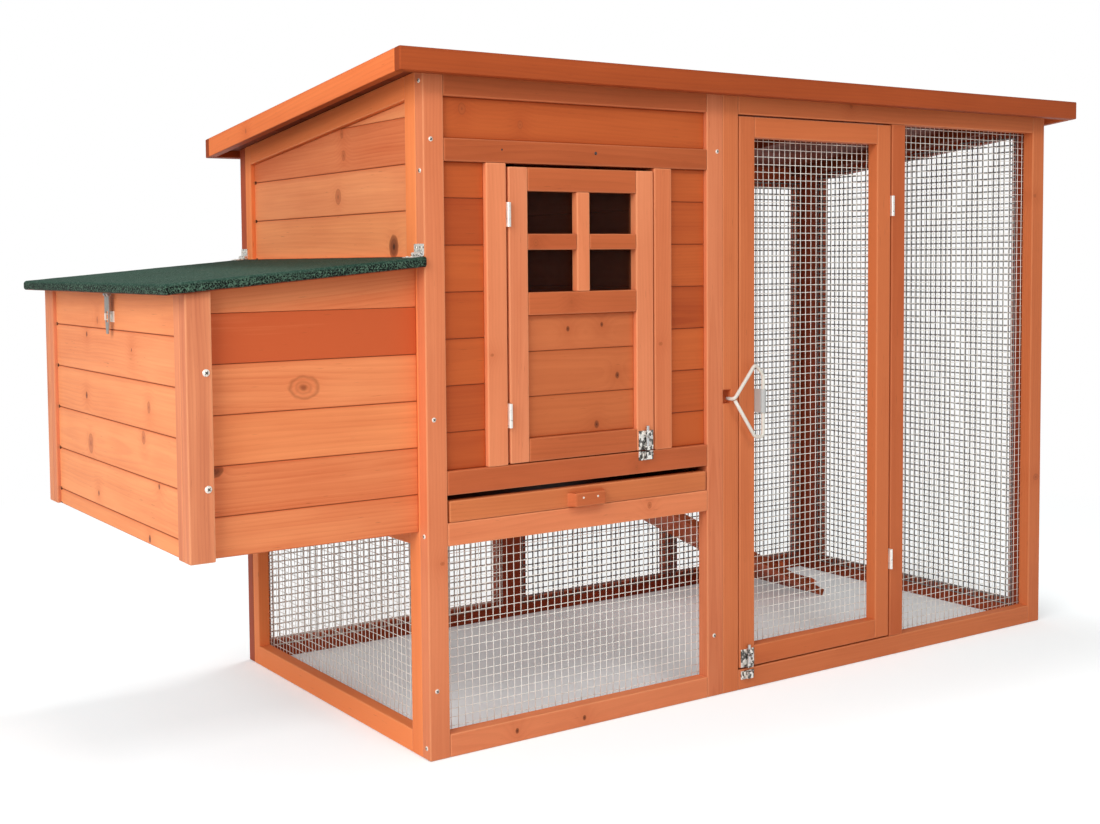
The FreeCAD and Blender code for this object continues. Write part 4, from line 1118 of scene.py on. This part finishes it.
def nail_marks():
    """Two nails sunk in the head rail, painted dark as the shade of their holes, and two bright
    ones in the tray's handle.
    """
    low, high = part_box("house_door_frame")
    front_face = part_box("house_front_frame")[0].y
    forward = Vector((0, -1, 0))
    sunk_nails = ((low.x - 11 * mm, 1.5 * mm), ((low.x + high.x) / 2 + 24 * mm, 2.6 * mm))
    for index, (x, radius) in enumerate(sunk_nails):
        spot = Vector((x, front_face + nail_seat, high.z + head_nail_rise))
        clout_nail("head_nail_%d" % index, spot, forward, radius, 0.3 * mm, finish="recess_shade")
    low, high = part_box("tray_handle")
    z = (low.z + high.z) / 2 + handle_nail_rise
    for index, share in enumerate((0.3, 0.68)):
        spot = Vector((low.x + (high.x - low.x) * share, low.y, z))
        clout_nail("handle_nail_%d" % index, spot, forward, handle_nail_radius, 0.4 * mm,
                   "tray", "pale_zinc")


# Boards, rails and stiles
wood_slots = ("front_wood", "board_wood", "frame_wood", "door_wood", "fascia_wood", "inner_wood")
for node, slot in slot_of.items():
    if slot in wood_slots:
        dress_boards(node, board_round if slot == "board_wood" else frame_round)

# Welded mesh on the inner faces of the frames
for node in ("house_front_mesh", "run_front_mesh", "run_door_mesh"):
    welded_mesh(node, 1, wire_radius)
for node in ("rear_house_mesh", "rear_run_mesh"):
    welded_mesh(node, 1, rear_wire_radius)
welded_mesh("left_side_mesh", 0, wire_radius)
welded_mesh("right_side_mesh", 0, rear_wire_radius)

# Felt on the lid and the roof
felt_lid()
roof_strips()

# Screws, nails and the latch's wire
screws_in_place()
lid_hinge_screws()
nail_marks()
latch_loop()

# Metal parts and the pane keep their solids, the metal with eased edges
for node, slot in slot_of.items():
    if slot in ("zinc", "steel_rod", "clear_pane") and node not in ("screws", "wire_latch"):
        piece = nodes[node]
        piece.data.materials.clear()
        piece.data.materials.append(materials[finish_of[node]])
        if slot != "clear_pane":
            ease = piece.modifiers.new("eased_edges", "BEVEL")
            ease.width = metal_edge
            ease.segments = 2
            ease.limit_method = "ANGLE"

# Floor, light and camera
floor_shader = Shader("pale_floor")
diffuse = floor_shader.node("BsdfDiffuse", sockets={"Color": floor_tint})
glow = floor_shader.node("Emission", sockets={"Color": floor_glow_tint, "Strength": floor_glow})
glowing = floor_shader.node("AddShader", sockets={0: diffuse, 1: glow})
path = floor_shader.node("LightPath", output="Is Camera Ray")
seen = (path + path.other("Is Glossy Ray") + path.other("Is Transmission Ray")).clamped()
white = floor_shader.node("Emission", sockets={"Color": pure_white, "Strength": 1.0})
floor_x, floor_y, _ = floor_shader.parts(floor_shader.node("TexCoord", output="Object"))
from_middle = (floor_x * floor_x + floor_y * floor_y).root()
far = ((from_middle - fade_start) / fade_length).clamped()
# Painted shadow on the floor under the house: less of its glow inside the house's footprint
low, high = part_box("house_front_frame")
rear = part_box("rear_frame")[1]
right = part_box("right_side_frame")[1]
in_x = (floor_x > low.x) * (floor_x < right.x)
in_y = (floor_y > low.y) * (floor_y < rear.y)
painted_house_shadow = in_x * in_y * painted_shade_share
lit = floor_shader.node("MixShader", sockets={0: painted_house_shadow, 1: glowing, 2: diffuse})
faded = floor_shader.node("MixShader", sockets={0: far, 1: lit, 2: white})
floor_shader.node_output(floor_shader.node("MixShader", sockets={0: seen, 1: diffuse, 2: faded}))
floor_mesh = bpy.data.meshes.new("floor")
corners = [(x * floor_reach, y * floor_reach, 0) for x, y in ((-1, -1), (1, -1), (1, 1), (-1, 1))]
floor_mesh.from_pydata(corners, [], [(0, 1, 2, 3)])
floor_mesh.materials.append(floor_shader.material)
floor = bpy.data.objects.new("floor", floor_mesh)
floor.location.z = -floor_drop
bpy.context.scene.collection.objects.link(floor)

# Pale light from all sides, and a white background for the camera
world = bpy.data.worlds.new("studio")
bpy.context.scene.world = world
world.use_nodes = True
tree = world.node_tree
sky = tree.nodes["Background"]
backdrop = tree.nodes.new("ShaderNodeBackground")
for light, tint, strength in ((sky, sky_tint, sky_strength), (backdrop, pure_white, 1.0)):
    light.inputs["Color"].default_value = tint
    light.inputs["Strength"].default_value = strength
path = tree.nodes.new("ShaderNodeLightPath")
seen = tree.nodes.new("ShaderNodeMath")
seen.operation = "ADD"
seen.use_clamp = True
shown = tree.nodes.new("ShaderNodeMixShader")
tree.links.new(path.outputs["Is Camera Ray"], seen.inputs[0])
tree.links.new(path.outputs["Is Transmission Ray"], seen.inputs[1])
for index, node in enumerate((seen, sky, backdrop)):
    tree.links.new(node.outputs[0], shown.inputs[index])
tree.links.new(shown.outputs[0], tree.nodes["World Output"].inputs["Surface"])

for name, (place, target, size, watts) in soft_boxes.items():
    lamp = bpy.data.lights.new(name, "AREA")
    lamp.size = size
    lamp.energy = watts
    box = bpy.data.objects.new(name, lamp)
    bpy.context.scene.collection.objects.link(box)
    box.location = place
    aim = Vector(target) - Vector(place)
    box.rotation_euler = aim.to_track_quat("-Z", "Y").to_euler()

turn = math.cos(camera_yaw), math.sin(camera_yaw)
forward = Vector((turn[1] * math.cos(camera_pitch), turn[0] * math.cos(camera_pitch),
                  -math.sin(camera_pitch)))
level_right = Vector((turn[0], -turn[1], 0))
level_up = level_right.cross(forward)
right = level_right * math.cos(camera_roll) + level_up * math.sin(camera_roll)
up = level_up * math.cos(camera_roll) - level_right * math.sin(camera_roll)
lens = bpy.data.cameras.new("camera")
lens.lens = camera_lens
lens.sensor_width = 36
lens.shift_x, lens.shift_y = camera_shift
camera = bpy.data.objects.new("camera", lens)
bpy.context.scene.collection.objects.link(camera)
facing = Matrix((right, up, -forward)).transposed().to_4x4()
camera.matrix_world = Matrix.Translation(camera_place) @ facing
bpy.context.scene.camera = camera
bpy.context.scene.view_settings.view_transform = "Standard"
